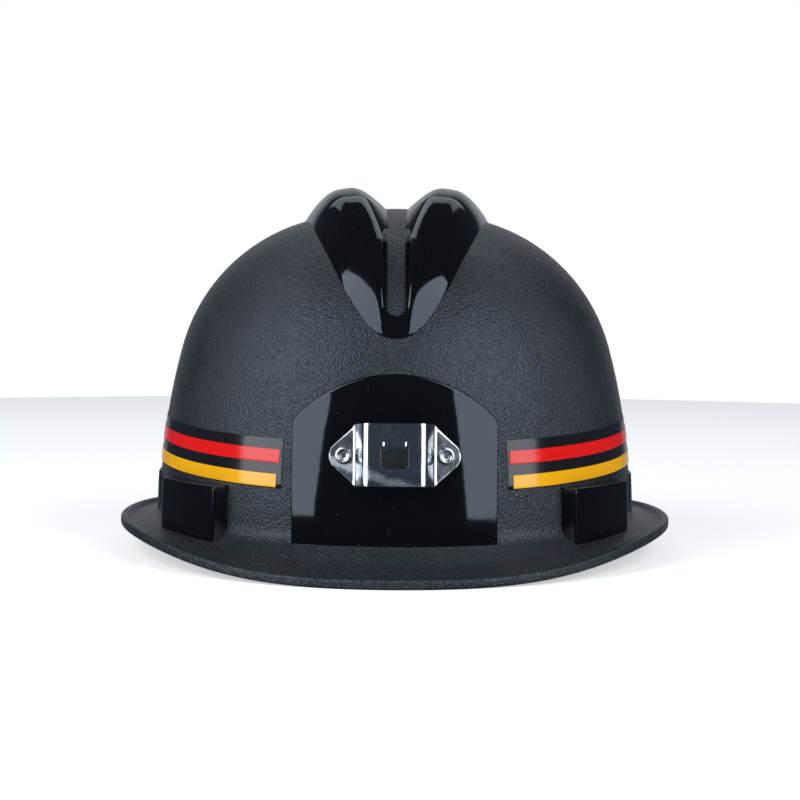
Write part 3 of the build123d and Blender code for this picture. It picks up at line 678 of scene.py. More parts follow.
def brim_point(share, root, z, rim, turn, drop):
    """Point across the brim from the dome's root to the lip, with the crease half-way."""
    point = ring_point(root, z, turn).lerp(rim_point(*rim, turn), share)
    dip = clamp(min(share, 1 - share) * 2)
    point.z -= drop * dip * math.sin(turn) ** 2
    return point


def shell_rows(fillet, drop):
    """Rows of the shell's section, outside from the crown to the lip and back inside to the crown."""
    outer = [point for point in dome_profile(0, (26, 26, 30)) if point[1] > ROOT + fillet]
    inner = [point for point in reversed(dome_profile(-WALL, (20, 20, 14))) if point[1] > ROOT + 0.002]
    top_rim = (0.0048, 0.0026)
    low_rim = (0.0046, 0.0002)
    rows = [lambda turn, p=point: ring_point(*p, turn) for point in outer]
    start = (ring_radius(ROOT + fillet), ROOT + fillet)

    def fillet_row(t):
        def at(turn):
            corner = ring_point(HALF_WIDTH, ROOT, turn)
            reach = (rim_point(*top_rim, turn) - corner).length
            end = brim_point(fillet / reach, HALF_WIDTH, ROOT, top_rim, turn, drop)
            return ring_point(*start, turn) * (1 - t) ** 2 + corner * 2 * t * (1 - t) + end * t * t

        return at

    rows += [fillet_row(step / 8) for step in range(9)]

    def top_row(t):
        def at(turn):
            reach = (rim_point(*top_rim, turn) - ring_point(HALF_WIDTH, ROOT, turn)).length
            first = fillet / reach
            return brim_point(first + (1 - first) * t, HALF_WIDTH, ROOT, top_rim, turn, drop)

        return at

    rows += [top_row(step / 16) for step in range(1, 16)]
    lip = (
        (4.8, 2.6), (4.3, 2.85), (3.8, 3.35), (3.45, 3.8), (3.1, 4.08), (2.7, 4.18), (1.7, 4.2),
        (1.05, 4.17), (0.6, 4.03), (0.25, 3.75), (0.06, 3.35), (0.0, 2.9), (0.0, 1.3), (0.05, 0.85),
        (0.22, 0.4), (0.55, 0.1), (1.0, 0.0), (2.8, 0.0), (3.6, 0.05), (4.6, 0.2),
    )
    rows += [lambda turn, p=point: rim_point(p[0] / 1000, p[1] / 1000, turn) for point in lip]
    under = ROOT - BRIM_THICKNESS
    near = HALF_WIDTH - WALL
    rows += [
        lambda turn, t=step / 12: brim_point(1 - t, near, under, low_rim, turn, drop)
        for step in range(1, 12)
    ]
    rows += [lambda turn, z=height: ring_point(near, z, turn) for height in (under, under + 0.0003, ROOT)]
    rows += [lambda turn, p=point: ring_point(*p, turn) for point in inner]
    return rows


class HELMET_OT_shell(bpy.types.Operator):
    """Models the dome, the brim and its lip as one grained moulding"""

    bl_idname = "helmet.shell"
    bl_label = "Shell"

    def execute(self, context):
        sizes = context.scene.helmet_sizes
        rows = shell_rows(sizes.root_fillet, sizes.apron_drop)
        piece = formed_grid(
            "shell_body", 288, len(rows) - 1, lambda u, v: rows[round(v * (len(rows) - 1))](2 * math.pi * u)
        )
        finish_piece(piece, "root", "shell_matte", "shell")
        return {"FINISHED"}


# Angle above the brim root in degrees, then places across in metres, from the front tip to the crown.
RIDGE_ANGLES = (37.9, 38.1, 38.5, 39.2, 40.6, 43.5, 51.0, 67.0, 90.0)
RIDGE_FEET = (0.0008, 0.0038, 0.0062, 0.0088, 0.0120, 0.0165, 0.0250, 0.0355, 0.0430)
CREST_ANGLES = (43.0, 51.0, 60.0, 75.0, 90.0)
CREST_PLACES = (0.0062, 0.0090, 0.0120, 0.0185, 0.0235)
PEAK_ANGLES = (37.9, 45.0, 51.0, 60.0, 75.0, 90.0)
PEAK_PLACES = (0.0052, 0.0078, 0.0106, 0.0155, 0.0246, 0.0275)
FLOOR_ANGLES = (52.0, 70.0, 90.0)
GROOVE_END = 43.6
DEGREE_RUN = 0.0025  # metres along the dome for each degree there
CREASE = 72.0  # where the front facets meet the humps


def ridge_height(x, angle, foot, crest, floor, peak):
    """Height of the ridges above the dome: facets in front, round humps over the crown, and the groove."""
    ramp = clamp((angle - RIDGE_ANGLES[0]) / (CREASE - RIDGE_ANGLES[0]))
    tall = peak * (0.86 * ramp**1.6 + 0.14 * clamp(ramp * 16) ** 0.5)
    top = min(ease(PEAK_ANGLES, PEAK_PLACES, angle), foot * 0.85)
    climb = clamp((foot - x) / (foot - top))
    rounded = clamp((angle - 60) / 14)
    arch = math.sin(math.pi / 2 * climb)
    flank = arch**0.9 * rounded + (0.65 * climb + 0.35 * arch) * (1 - rounded)
    away = math.hypot(x, DEGREE_RUN * max(GROOVE_END - angle, 0))
    wall = clamp((away - floor) / (crest - floor))
    steep = math.sin(math.pi / 2 * wall) ** 1.15
    fall = 1 - 0.10 * rounded * clamp((top - x) / (top - floor)) ** 2
    soft = math.sin(math.pi / 2 * wall) ** 1.1
    cut = (soft * rounded + steep * (1 - rounded)) * fall
    return tall * flank * cut - 0.0004 * (1 - clamp(wall * 6)) - 0.0004 * (1 - clamp(climb * 9))


def ridge_rows():
    """Angles of the rows from the front tip to the crown, closest round the groove's end."""
    rows = [37.9 + 0.1 * step for step in range(12)]
    rows += [39.1 + 0.2 * step for step in range(6)]
    rows += [40.3 + 0.1 * step for step in range(42)]
    return rows + [44.5 + (90 - 44.5) * step / 74 for step in range(75)]


class HELMET_OT_ridges(bpy.types.Operator):
    """Models the two polished crown ridges with the groove between them"""

    bl_idname = "helmet.ridges"
    bl_label = "Crown Ridges"

    def execute(self, context):
        sizes = context.scene.helmet_sizes
        front = ridge_rows()
        angles = front + [180 - angle for angle in reversed(front[:-1])]
        spread = [("floor", 3), ("wall", 14), ("flank", 30)]
        steps = [(part, (step + 1) / count) for part, count in spread for step in range(count)]
        steps = [("floor", 0.0), *steps]
        side = len(steps) - 1
        table = {}
        for row, angle in enumerate(angles):
            near = min(angle, 180 - angle)
            foot = ease(RIDGE_ANGLES, RIDGE_FEET, near)
            crest = ease(CREST_ANGLES, CREST_PLACES, near)
            floor = ease(FLOOR_ANGLES, (sizes.groove_half, 0.0037, 0.0048), near)
            crest = min(crest, foot * 0.8)
            floor = min(floor, crest * 0.8)
            ends = {"floor": (0, floor), "wall": (floor, crest), "flank": (crest, foot)}
            for column, (part, share) in enumerate(steps):
                start, end = ends[part]
                x = start + (end - start) * share
                rise = ridge_height(x, near, foot, crest, floor, sizes.ridge_height)
                reach = surface_reach(x, math.radians(near)) + rise
                y = -reach * math.cos(math.radians(near)) * (1 if angle <= 90 else -1)
                table[row, column] = (x, y, ROOT + reach * math.sin(math.radians(near)))

        def place(u, v):
            column = round(u * 2 * side) - side
            x, y, z = table[round(v * (len(angles) - 1)), abs(column)]
            return Vector((x if column >= 0 else -x, y, z))

        piece = formed_grid("crown_ridges", 2 * side, len(angles) - 1, place, outward=False)
        finish_piece(piece, "root", "shell_gloss")
        return {"FINISHED"}


def raised_patch(name, outline, centre, proud, rim, shrink_rows=10):
    """Low boss on the dome with a rounded rim. The outline is in distance round the dome and height."""
    count = len(outline)
    inward = []
    for index in range(count):
        before, after = outline[index - 1], outline[(index + 1) % count]
        along = Vector((after[0] - before[0], after[1] - before[1])).normalized()
        inward.append(Vector((-along.y, along.x)))
    edge = [(-0.0001, -0.0006), (-0.0001, proud * 0.2), (0.0, proud - rim)]
    for step in range(1, 6):
        turn = math.pi / 2 * step / 5
        edge.append((rim * (1 - math.cos(turn)), proud - rim + rim * math.sin(turn)))
    last = rim * 1.6
    edge.append((last, proud))
    rows = [("inset", *pair) for pair in edge]
    rows += [("shrink", step / shrink_rows, proud) for step in range(1, shrink_rows + 1)]

    def place(u, v):
        index = round(u * count) % count
        kind, amount, grow = rows[round(v * (len(rows) - 1))]
        point = Vector(outline[index])
        if kind == "inset":
            point += inward[index] * amount
        else:
            point = (point + inward[index] * last).lerp(Vector(centre), amount)
        return on_dome(point.x, point.y, grow)

    return formed_grid(name, count, len(rows) - 1, place)


def arc_of(x, z):
    """Distance round the dome from the front of a place across, at a height."""
    return ARC_UNIT * math.asin(clamp(x / ring_radius(z), -1, 1))


def panel_outline():
    """Arched outline of the lamp panel, anticlockwise, with rounded shoulders."""
    half, shoulder, top, corner = 0.0425, 0.0660, 0.0855, 0.0055
    bottom = 0.0135
    radius = (half**2 + (top - shoulder) ** 2) / (2 * (top - shoulder))
    centre_z = top - radius
    inner = radius - corner
    corner_x = half - corner
    corner_z = centre_z + math.sqrt(inner**2 - corner_x**2)
    lean = math.atan2(corner_x, corner_z - centre_z)
    right = [(half, bottom + (corner_z - bottom) * step / 24) for step in range(24)]
    right += [
        (corner_x + corner * math.cos(turn), corner_z + corner * math.sin(turn))
        for turn in ((math.pi / 2 - lean) * step / 8 for step in range(9))
    ]
    turns = [lean * (1 - step / 20) for step in range(1, 20)]
    arch = [(radius * math.sin(turn), centre_z + radius * math.cos(turn)) for turn in turns]
    half_way = right + arch
    bottom_row = [(-half + 2 * half * step / 24, bottom) for step in range(1, 24)]
    points = half_way + [(0, top)] + [(-x, z) for x, z in reversed(half_way)] + bottom_row
    return [(arc_of(x, z), z) for x, z in points]


class HELMET_OT_lamp_panel(bpy.types.Operator):
    """Models the polished lamp panel on the front of the dome"""

    bl_idname = "helmet.lamp_panel"
    bl_label = "Lamp Panel"

    def execute(self, context):
        sizes = context.scene.helmet_sizes
        piece = raised_patch("lamp_panel", panel_outline(), (0, 0.045), PANEL_PROUD, sizes.panel_rim, 14)
        finish_piece(piece, "root", "shell_gloss")
        return {"FINISHED"}


def key_block(rounding):
    """One key block in its own frame, bent along the dome."""
    bpy.ops.object.select_all(action="DESELECT")
    bpy.ops.mesh.primitive_cube_add(size=1, location=(0, 0, 0))
    block = bpy.context.object
    centre, size = (0, 0.00315, 0.0238), (0.045, 0.0087, 0.0248, 1)
    block.data.transform(Matrix.Translation(centre) @ Matrix.Diagonal(size))
    bpy.ops.object.mode_set(mode="EDIT")
    bpy.ops.mesh.select_all(action="DESELECT")
    bpy.ops.object.mode_set(mode="OBJECT")
    for edge in block.data.edges:
        first, second = (block.data.vertices[index].co for index in edge.vertices)
        edge.select = abs(first.x - second.x) > 0.01
    bpy.ops.object.mode_set(mode="EDIT")
    bpy.ops.mesh.select_mode(type="EDGE")
    bpy.ops.mesh.subdivide(number_cuts=10)
    bpy.ops.object.mode_set(mode="OBJECT")
    soften(block, rounding, 4, 50)
    for vertex in block.data.vertices:
        lean = 0.0 if vertex.co.y < 0.003 else (vertex.co.z - 0.0114) * 0.03
        vertex.co.y -= vertex.co.x**2 / 0.236 + lean
    return block


class HELMET_OT_key_blocks(bpy.types.Operator):
    """Models the four polished key blocks and the two low side pads"""

    bl_idname = "helmet.key_blocks"
    bl_label = "Key Blocks"

    def execute(self, context):
        sizes = context.scene.helmet_sizes
        block = key_block(sizes.block_rounding)
        for end, along in ((-1, "front"), (1, "back")):
            for side, across in ((1, "right"), (-1, "left")):
                twin = copied(block, f"key_block_{along}_{across}", block_matrix(side, end))
                finish_piece(twin, "root", "shell_gloss")
        bpy.data.objects.remove(block)
        quarter = ARC_UNIT * math.pi / 2
        outline = []
        half, low, high, corner = 0.0189, 0.0135, 0.035, 0.002
        for cx, cz, start in ((half, high, 0), (-half, high, 90), (-half, low, 180), (half, low, 270)):
            cx -= math.copysign(corner, cx)
            cz += corner if cz == low else -corner
            for step in range(7):
                turn = math.radians(start + 15 * step)
                outline.append((cx + corner * math.cos(turn), cz + corner * math.sin(turn)))
        dense = []
        for index, point in enumerate(outline):
            after = outline[(index + 1) % len(outline)]
            parts = max(1, round(math.dist(point, after) / 0.003))
            dense += [tuple(Vector(point).lerp(Vector(after), step / parts)) for step in range(parts)]
        for side, name in ((1, "right"), (-1, "left")):
            shifted = [(u + side * quarter, z) for u, z in dense]
            pad = raised_patch(f"side_pad_{name}", shifted, (side * quarter, 0.024), 0.0012, 0.0005, 5)
            finish_piece(pad, "root", "shell_matte")
        return {"FINISHED"}


# ---- lamp bracket ----
BRACKET_PATH = ((-27.0, -3.5), (-15.5, -0.99), (-11.5, 6.5), (11.5, 6.5), (15.5, -0.99), (27.0, -3.5))


def path_at(path, distance):
    """Point at a distance along a path of straight runs."""
    for first, second in zip(path, path[1:]):
        run = math.dist(first, second)
        if distance <= run or second == path[-1]:
            return Vector(first).lerp(Vector(second), clamp(distance / run))
        distance -= run


def bracket_half(x):
    """Half of the bracket's height at a place across, in millimetres."""
    x = abs(x)
    if x <= 15.5:
        return 13.0
    reach = math.hypot(20.9 - 15.5, 13.0)
    turn = math.atan2(13.0, 15.5 - 20.9) - math.acos(6.1 / reach)
    touch = (20.9 + 6.1 * math.cos(turn), 6.1 * math.sin(turn))
    if x < touch[0]:
        return 13.0 + (touch[1] - 13.0) * (x - 15.5) / (touch[0] - 15.5)
    return math.sqrt(max(6.1**2 - (x - 20.9) ** 2, 1.0))


def sheet_piece(name, bend, edge):
    """Bent bracket sheet in its own frame, in metres, with its window."""
    path = BRACKET_PATH
    total = sum(math.dist(first, second) for first, second in zip(path, path[1:]))
    columns, rows = 132, 14

    def place(u, v):
        share = 0.5 - 0.5 * math.cos(math.pi * u)
        distance = total * (0.45 * share + 0.55 * u)
        spread = [path_at(path, clamp(distance + bend * 1000 * step / 6, 0, total)) for step in range(-6, 7)]
        point = sum(spread, Vector((0, 0))) / 13
        if u in (0, 1):
            point = Vector(path[-1 if u else 0])
        half = bracket_half(point.x)
        return Vector((point.x, half * (2 * v - 1), point.y)) / 1000

    sheet = formed_grid(name, columns, rows, place, outward=False)
    apply(sheet, "SOLIDIFY", thickness=SHEET, offset=1.0)
    bpy.ops.object.select_all(action="DESELECT")
    bpy.ops.mesh.primitive_cube_add(size=1, location=(0, 0, 0))
    cutter = bpy.context.object
    cutter.data.transform(Matrix.Translation((0, 0, 0.007)) @ Matrix.Diagonal((0.0114, 0.0114, 0.012, 1)))
    weights = cutter.data.attributes.new("bevel_weight_edge", "FLOAT", "EDGE")
    for line in cutter.data.edges:
        first, second = (cutter.data.vertices[index].co for index in line.vertices)
        weights.data[line.index].value = 1.0 if abs(first.z - second.z) > 0.01 else 0.0
    apply(cutter, "BEVEL", width=0.0016, segments=5, limit_method="WEIGHT")
    apply(sheet, "BOOLEAN", object=cutter, operation="DIFFERENCE", solver="EXACT")
    bpy.data.objects.remove(cutter)
    soften(sheet, edge, 3, 50)
    return sheet


def turned_piece(name, profile, columns=48):
    """Round piece about Z from a profile of radius and height in millimetres."""
    rows = len(profile) - 1

    def place(u, v):
        radius, z = profile[round(v * rows)]
        turn = 2 * math.pi * u
        return Vector((radius * math.cos(turn), radius * math.sin(turn), z)) / 1000

    return formed_grid(name, columns, rows, place)


# Radius and height in millimetres: from the buried foot up over the rim and down into the hole.
RIVET_HEAD = (
    (0, -1.2), (2.9, -1.2), (3.3, 0.0), (3.6, 0.2), (3.62, 0.55), (3.4, 0.88), (3.0, 1.08), (2.55, 1.12),
    (2.2, 0.98), (1.95, 0.66), (1.75, 0.5), (1.5, 0.56), (1.25, 0.52), (1.05, 0.3), (0.96, -0.1),
    (0.9, -0.8), (0, -0.85),
)


class HELMET_OT_lamp_bracket(bpy.types.Operator):
    """Models the zinc-plated lamp bracket, its window lip and its two tubular rivets"""

    bl_idname = "helmet.lamp_bracket"
    bl_label = "Lamp Bracket"

    def execute(self, context):
        sizes = context.scene.helmet_sizes
        seat = surface_matrix(BRACKET_Z, 0.013, -1, PANEL_PROUD)
        sheet = sheet_piece("lamp_bracket_sheet", sizes.bend_radius, sizes.sheet_edge)

        def lip_place(u, v):
            turn = math.radians(-110 + 200 * v)
            narrow = 0.0104 - 0.0012 * (1 - v)
            up, out = 0.0039 + 0.0019 * math.sin(turn), 0.0068 + 0.0013 * math.cos(turn)
            return Vector(((u - 0.5) * narrow, up, out))

        lip = formed_grid("window_lip", 10, 14, lip_place, outward=False)
        apply(lip, "SOLIDIFY", thickness=0.0005, offset=0.0)
        bracket = joined("lamp_bracket_sheet", [sheet, lip])
        # Seat patch behind the window, painted light grey: a painted reflection of the light that reaches the
        # panel behind the plate.
        seat_outline = [(x / 1000, 0.052 + z / 1000) for x, z in ((-10, -10), (10, -10), (10, 10), (-10, 10))]
        dense = [
            tuple(Vector(point).lerp(Vector(seat_outline[(index + 1) % 4]), step / 8))
            for index, point in enumerate(seat_outline)
            for step in range(8)
        ]
        patch = raised_patch("bracket_seat_painted_reflection", dense, (0, 0.052), PANEL_PROUD + 0.0003, 0.0001, 6)
        finish_piece(patch, "root", "shell_matte", finish="seat_painted_reflection")
        settle(bracket, seat)
        finish_piece(bracket, "root", "zinc_steel", "lamp_bracket")
        drop = surface_y(0, BRACKET_Z, PANEL_PROUD) - surface_y(RIVET_X, BRACKET_Z, PANEL_PROUD)
        lean = math.atan2(0.0035 - 0.00099, 0.0270 - 0.0155)
        head = turned_piece("rivet_head", RIVET_HEAD)
        for side, name in ((1, "right"), (-1, "left")):
            place = seat @ Matrix.Translation((side * RIVET_X, 0, FIT_GAP - drop))
            place = place @ Matrix.Rotation(side * lean, 4, "Y")
            twin = copied(head, f"bracket_rivet_{name}", place @ Matrix.Translation((0, 0, SHEET)))
            finish_piece(twin, "root", "rivet_steel", "bracket_rivets")
        bpy.data.objects.remove(head)
        for node in ("rivet_washers", "clip_washer"):
            washer = node_copy(node, f"{node}_inside", 0.00012)
            finish_piece(washer, "root", "rivet_steel", node)
        clinch = node_copy("bracket_rivets", "bracket_rivet_clinches", 0.0)
        bpy.ops.object.mode_set(mode="EDIT")
        bpy.ops.mesh.select_all(action="SELECT")
        keep_from = seat @ Vector((0, 0, -0.006))
        outward = seat.to_3x3() @ Vector((0, 0, 1))
        bpy.ops.mesh.bisect(plane_co=keep_from, plane_no=outward, clear_outer=True, use_fill=True)
        bpy.ops.object.mode_set(mode="OBJECT")
        finish_piece(clinch, "root", "rivet_steel")
        return {"FINISHED"}


# ---- tapes ----
def tape_piece(name, side, low, height, start_x, near, film):
    """Film on the dome from its front end round to behind the side, rising slightly towards the back."""
    pivot = surface_y(TAPE_X, TAPE_Z)
    first = arc_of(start_x, 0.045)
    last = ARC_UNIT * (math.pi / 2 + math.asin(0.045 / HALF_LENGTH))

    def place(u, v):
        arc = first + (last - first) * u
        z = 0.047
        for _ in range(3):
            z = TAPE_Z + low + height * v + (on_dome(arc, z).y + pivot) * math.tan(math.radians(2.4))
        return on_dome(side * arc, z, near)

    tape = formed_grid(name, 110, 8, place, outward=False)
    if side < 0:
        tape.data.flip_normals()
    apply(tape, "SOLIDIFY", thickness=film, offset=1.0)
    soften(tape, film * 0.3, 2, 50)
    return tape


class HELMET_OT_tapes(bpy.types.Operator):
    """Models the black side tapes with their red and yellow stripes"""

    bl_idname = "helmet.tapes"
    bl_label = "Stripe Tapes"

    def execute(self, context):
        sizes = context.scene.helmet_sizes
        stripes = (("red", 0.0107, 0.0486), ("yellow", 0.0004, 0.0497))
        for side, name in ((1, "right"), (-1, "left")):
            tape = tape_piece(f"tape_film_{name}", side, 0, 0.0208, TAPE_X, FIT_GAP, sizes.film)
            finish_piece(tape, "root", "tape_black", f"tape_{name}")
            for tint, low, start in stripes:
                near = FIT_GAP + sizes.film
                stripe = tape_piece(
                    f"{tint}_stripe_{name}", side, low, sizes.stripe_width, start, near, sizes.film
                )
                slot = f"stripe_{tint}"
                finish_piece(stripe, "root", slot, f"{tint}_stripes")
        return {"FINISHED"}


# ---- suspension ----
def strap_arc(lift):
    """Half span, radius, centre height and half angle of a crown strap's arc."""
    foot = block_matrix(1, 1) @ Vector((0, BLADE_MIDDLE, 0))
    span = math.hypot(foot.x, foot.y)
    low = BAR_TOP + FIT_GAP + STRAP_THICKNESS
    height = STRAP_APEX + lift - low
    radius = (span**2 + height**2) / (2 * height)
    return span, radius, STRAP_APEX + lift - radius, math.asin(span / radius)


def strap_ribbon(name, lift, start, end, offset, columns, width):
    """Ribbon along a crown strap's arc between two shares of it, with webbing coordinates in metres."""
    _, radius, centre, half = strap_arc(lift)

    def place(u, v):
        turn = half * (start + (end - start) * u)
        crown = 0.00025 * (1 - (2 * v - 1) ** 2)
        reach = radius + offset + crown
        return Vector((reach * math.sin(turn), (v - 0.5) * width, centre + reach * math.cos(turn)))

    ribbon = formed_grid(name, columns, 8, place, outward=False)
    scale_coordinates(ribbon, radius * half * abs(end - start), width)
    apply(ribbon, "SOLIDIFY", thickness=STRAP_THICKNESS, offset=0.0)
    soften(ribbon, 0.00035, 2, 50)
    return ribbon


def scale_coordinates(piece, along, across):
    """Makes the piece's UV map run in metres."""
    for corner in piece.data.uv_layers.active.data:
        corner.uv = (corner.uv[0] * along, corner.uv[1] * across)


def strap_wrap(name, side, lift):
    """Loop of webbing round the bar of a hanger key."""
    span = strap_arc(lift)[0]

    def place(u, v):
        turn = 2 * math.pi * u
        across = math.copysign(abs(math.cos(turn)) ** 0.6, math.cos(turn)) * 0.00205
        up = math.copysign(abs(math.sin(turn)) ** 0.6, math.sin(turn)) * 0.00265
        return Vector((side * (span + across), (v - 0.5) * STRAP_WIDTH, BAR_TOP - 0.002 + up))

    wrap = formed_grid(name, 40, 6, place, outward=False)
    scale_coordinates(wrap, 0.016, STRAP_WIDTH)
    apply(wrap, "SOLIDIFY", thickness=STRAP_THICKNESS, offset=0.0)
    only(wrap)
    bpy.ops.object.shade_smooth()
    return wrap


def stitch_rows(lift, start, end):
    """Places of stitches in a crossed box on a strap's end, as arc share, side distance and lean."""
    half = 0.0070
    rows = []
    corners = ((start, -half), (end, -half), (end, half), (start, half))
    runs = list(zip(corners, corners[1:] + corners[:1]))
    runs += [(corners[0], corners[2]), (corners[1], corners[3])]
    _, radius, _, angle = strap_arc(lift)
    for first, second in runs:
        run = Vector(((second[0] - first[0]) * radius * angle, second[1] - first[1]))
        count = max(2, round(run.length / 0.0027))
        for step in range(count):
            share = (step + 0.5) / count
            place = (first[0] + (second[0] - first[0]) * share, first[1] + (second[1] - first[1]) * share)
            rows.append((*place, math.atan2(run.y, run.x)))
    return rows


def stitch_piece():
    """One short stitch of thread along X."""
    bpy.ops.object.select_all(action="DESELECT")
    bpy.ops.mesh.primitive_uv_sphere_add(segments=8, ring_count=6, radius=1, location=(0, 0, 0))
    stitch = bpy.context.object
    stitch.data.transform(Matrix.Diagonal((0.00115, 0.00032, 0.00028, 1)))
    bpy.ops.object.shade_smooth()
    return stitch


class HELMET_OT_straps(bpy.types.Operator):
    """Models the two crossed crown straps with their sewn ends"""

    bl_idname = "helmet.straps"
    bl_label = "Crown Straps"

    def execute(self, context):
        turn = math.atan2(*reversed((block_matrix(1, 1) @ Vector((0, BLADE_MIDDLE, 0))).xy))
        stitch = stitch_piece()
        for level, side, lift in (("lower", 1, 0.0), ("upper", -1, 0.002)):
            place = Matrix.Rotation(side * turn, 4, "Z")
            parts = [strap_ribbon("run", lift, -0.985, 0.985, 0, 120, STRAP_WIDTH)]
            narrower = STRAP_WIDTH - 0.0004
            for end in (-1, 1):
                parts.append(strap_ribbon("tail", lift, end * 0.97, end * 0.80, -0.00125, 20, narrower))
                parts.append(strap_wrap("wrap", end, lift))
            strap = joined(f"crown_strap_{level}_webbing", parts)
            settle(strap, place)
            finish_piece(strap, "root", "webbing", f"crown_strap_{level}")
            _, radius, centre, half = strap_arc(lift)
            threads = []
            for end in (-1, 1):
                for share, across, lean in stitch_rows(lift, end * 0.93, end * 0.82):
                    tilt = half * share
                    turned = Matrix.Rotation(tilt, 4, "Y") @ Matrix.Rotation(lean, 4, "Z")
                    for reach in (radius + 0.00085, radius - 0.0019):
                        point = (reach * math.sin(tilt), across, centre + reach * math.cos(tilt))
                        threads.append(copied(stitch, "stitch", place @ Matrix.Translation(point) @ turned))
            thread = joined(f"strap_stitching_{level}", threads)
            finish_piece(thread, "root", "webbing", finish="thread")
        bpy.data.objects.remove(stitch)
        return {"FINISHED"}


def band_point(turn, grow, z):
    """Point on the headband's ellipse, with the turn from the front."""
    x = (BAND_WIDTH + grow) * math.sin(turn)
    return Vector((x, BAND_Y - (BAND_LENGTH + grow) * math.cos(turn), z))


def band_pad(name, middle, half_turn, face, thick, low, high, waves):
    """Soft pad inside the headband, with rounded edges and shallow sewn channels."""
    reach = half_turn * (BAND_LENGTH if middle else BAND_WIDTH)

    def place(u, v):
        along = 2 * u - 1
        fade = math.sqrt(max(1 - abs(along) ** 18, 0))
        turn = 2 * math.pi * v
        into = math.copysign(abs(math.cos(turn)) ** 0.55, math.cos(turn))
        up = math.copysign(abs(math.sin(turn)) ** 0.75, math.sin(turn))
        puff = 1 - 0.16 * math.cos(waves * math.pi * along) ** 16 if waves and into > 0 else 1
        depth = thick / 2 * (1 + into * fade * puff)
        z = (low + high) / 2 + up * fade * (high - low) / 2
        return band_point(middle + half_turn * along, face - depth, z)

    pad = formed_grid(name, 150, 40, place)
    scale_coordinates(pad, 2 * reach, 2 * (high - low))
    return pad


class HELMET_OT_pads(bpy.types.Operator):
    """Models the brow pad, the nape pad and the crown cushion"""

    bl_idname = "helmet.pads"
    bl_label = "Pads"

    def execute(self, context):
        brow = band_pad("brow_pad_leather", 0, math.radians(76), -0.00105, 0.0045, 0.012, 0.040, 9)
        finish_piece(brow, "root", "pad_leather", "brow_pad")
        nape = band_pad("nape_pad_leather", math.pi, math.radians(22), -0.00405, 0.004, 0.011, 0.041, 5)
        finish_piece(nape, "nape_unit", "pad_leather", "nape_pad")
        _, radius, centre, _ = strap_arc(0)
        outer = radius - STRAP_THICKNESS / 2 - 0.0002

        def place(u, v):
            turn = 2 * math.pi * u
            section = math.pi * v
            away = 0.030 * math.sin(section) ** 0.8
            side = math.cos(section)
            channel = 1 - 0.35 * math.exp(-(((away - 0.021) / 0.0016) ** 2))
            depth = 0.002 - 0.002 * math.copysign(abs(side) ** 0.45, side) * (1 if side > 0 else channel)
            reach = outer - depth
            lean = away / outer
            across = reach * math.sin(lean)
            return Vector((across * math.cos(turn), across * math.sin(turn), centre + reach * math.cos(lean)))

        crown = formed_grid("crown_cushion", 96, 48, place)
        layer = crown.data.uv_layers.active.data
        for loop in crown.data.loops:
            point = crown.data.vertices[loop.vertex_index].co
            layer[loop.index].uv = (point.x, point.y)
        finish_piece(crown, "root", "pad_fabric", "crown_pad")
        return {"FINISHED"}


class HELMET_OT_headband(bpy.types.Operator):
    """Finishes the headband, its hanger keys and its two sliding tails"""

    bl_idname = "helmet.headband"
    bl_label = "Headband"

    def execute(self, context):
        edge = context.scene.helmet_sizes.moulded_edge
        for node in ("headband", "hanger_keys"):
            piece = node_copy(node, f"{node}_moulding", edge)
            finish_piece(piece, "root", "band_plastic", node)
        for side in ("left", "right"):
            node = f"band_tail_{side}"
            tail = node_copy(node, f"{node}_strip", 0)
            finish_piece(tail, None, "band_plastic", node)
            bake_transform(tail)
        return {"FINISHED"}


class HELMET_OT_ratchet(bpy.types.Operator):
    """Finishes the nape ratchet: housing, cover, screws, knob, pinion and click ring"""

    bl_idname = "helmet.ratchet"
    bl_label = "Nape Ratchet"

    def execute(self, context):
        edge = context.scene.helmet_sizes.moulded_edge
        pieces = (
            ("ratchet_housing", "nape_unit", "band_plastic", edge),
            ("ratchet_cover", "nape_unit", "band_plastic", edge),
            ("cover_screws", "nape_unit", "rivet_steel", 0.00012),
            ("click_ring", "nape_unit", "rivet_steel", 0.0001),
            ("adjust_knob", "knob", "knob_plastic", 0.0003),
            ("knob_screw", "knob", "rivet_steel", 0.00012),
            ("pinion", "knob", "gear_plastic", 0.0001),
        )
        for node, body, slot, width in pieces:
            piece = node_copy(node, f"{node}_finished", width)
            finish_piece(piece, body, slot, node)
        return {"FINISHED"}


class HELMET_OT_cable_clip(bpy.types.Operator):
    """Finishes the rear cable clip and its rivet"""

    bl_idname = "helmet.cable_clip"
    bl_label = "Cable Clip"

    def execute(self, context):
        clip = node_copy("cable_clip", "cable_clip_sheet", 0.0003)
        finish_piece(clip, "root", "zinc_steel", "cable_clip")
        rivet = node_copy("clip_rivet", "clip_rivet_finished", 0.00015)
        finish_piece(rivet, "root", "rivet_steel", "clip_rivet")
        return {"FINISHED"}


# ---- studio ----
def soft_light(name, place, target, size, power, tint=(1, 1, 1)):
    """Rectangular soft light aimed at a point."""
    data = bpy.data.lights.new(name, "AREA")
    data.shape = "RECTANGLE"
    data.size, data.size_y = size
    data.energy = power
    data.color = tint
    lamp = bpy.data.objects.new(name, data)
    bpy.context.collection.objects.link(lamp)
    lamp.location = place
    lamp.rotation_euler = (Vector(target) - Vector(place)).to_track_quat("-Z", "Y").to_euler()
    lamp.visible_camera = False
    return lamp


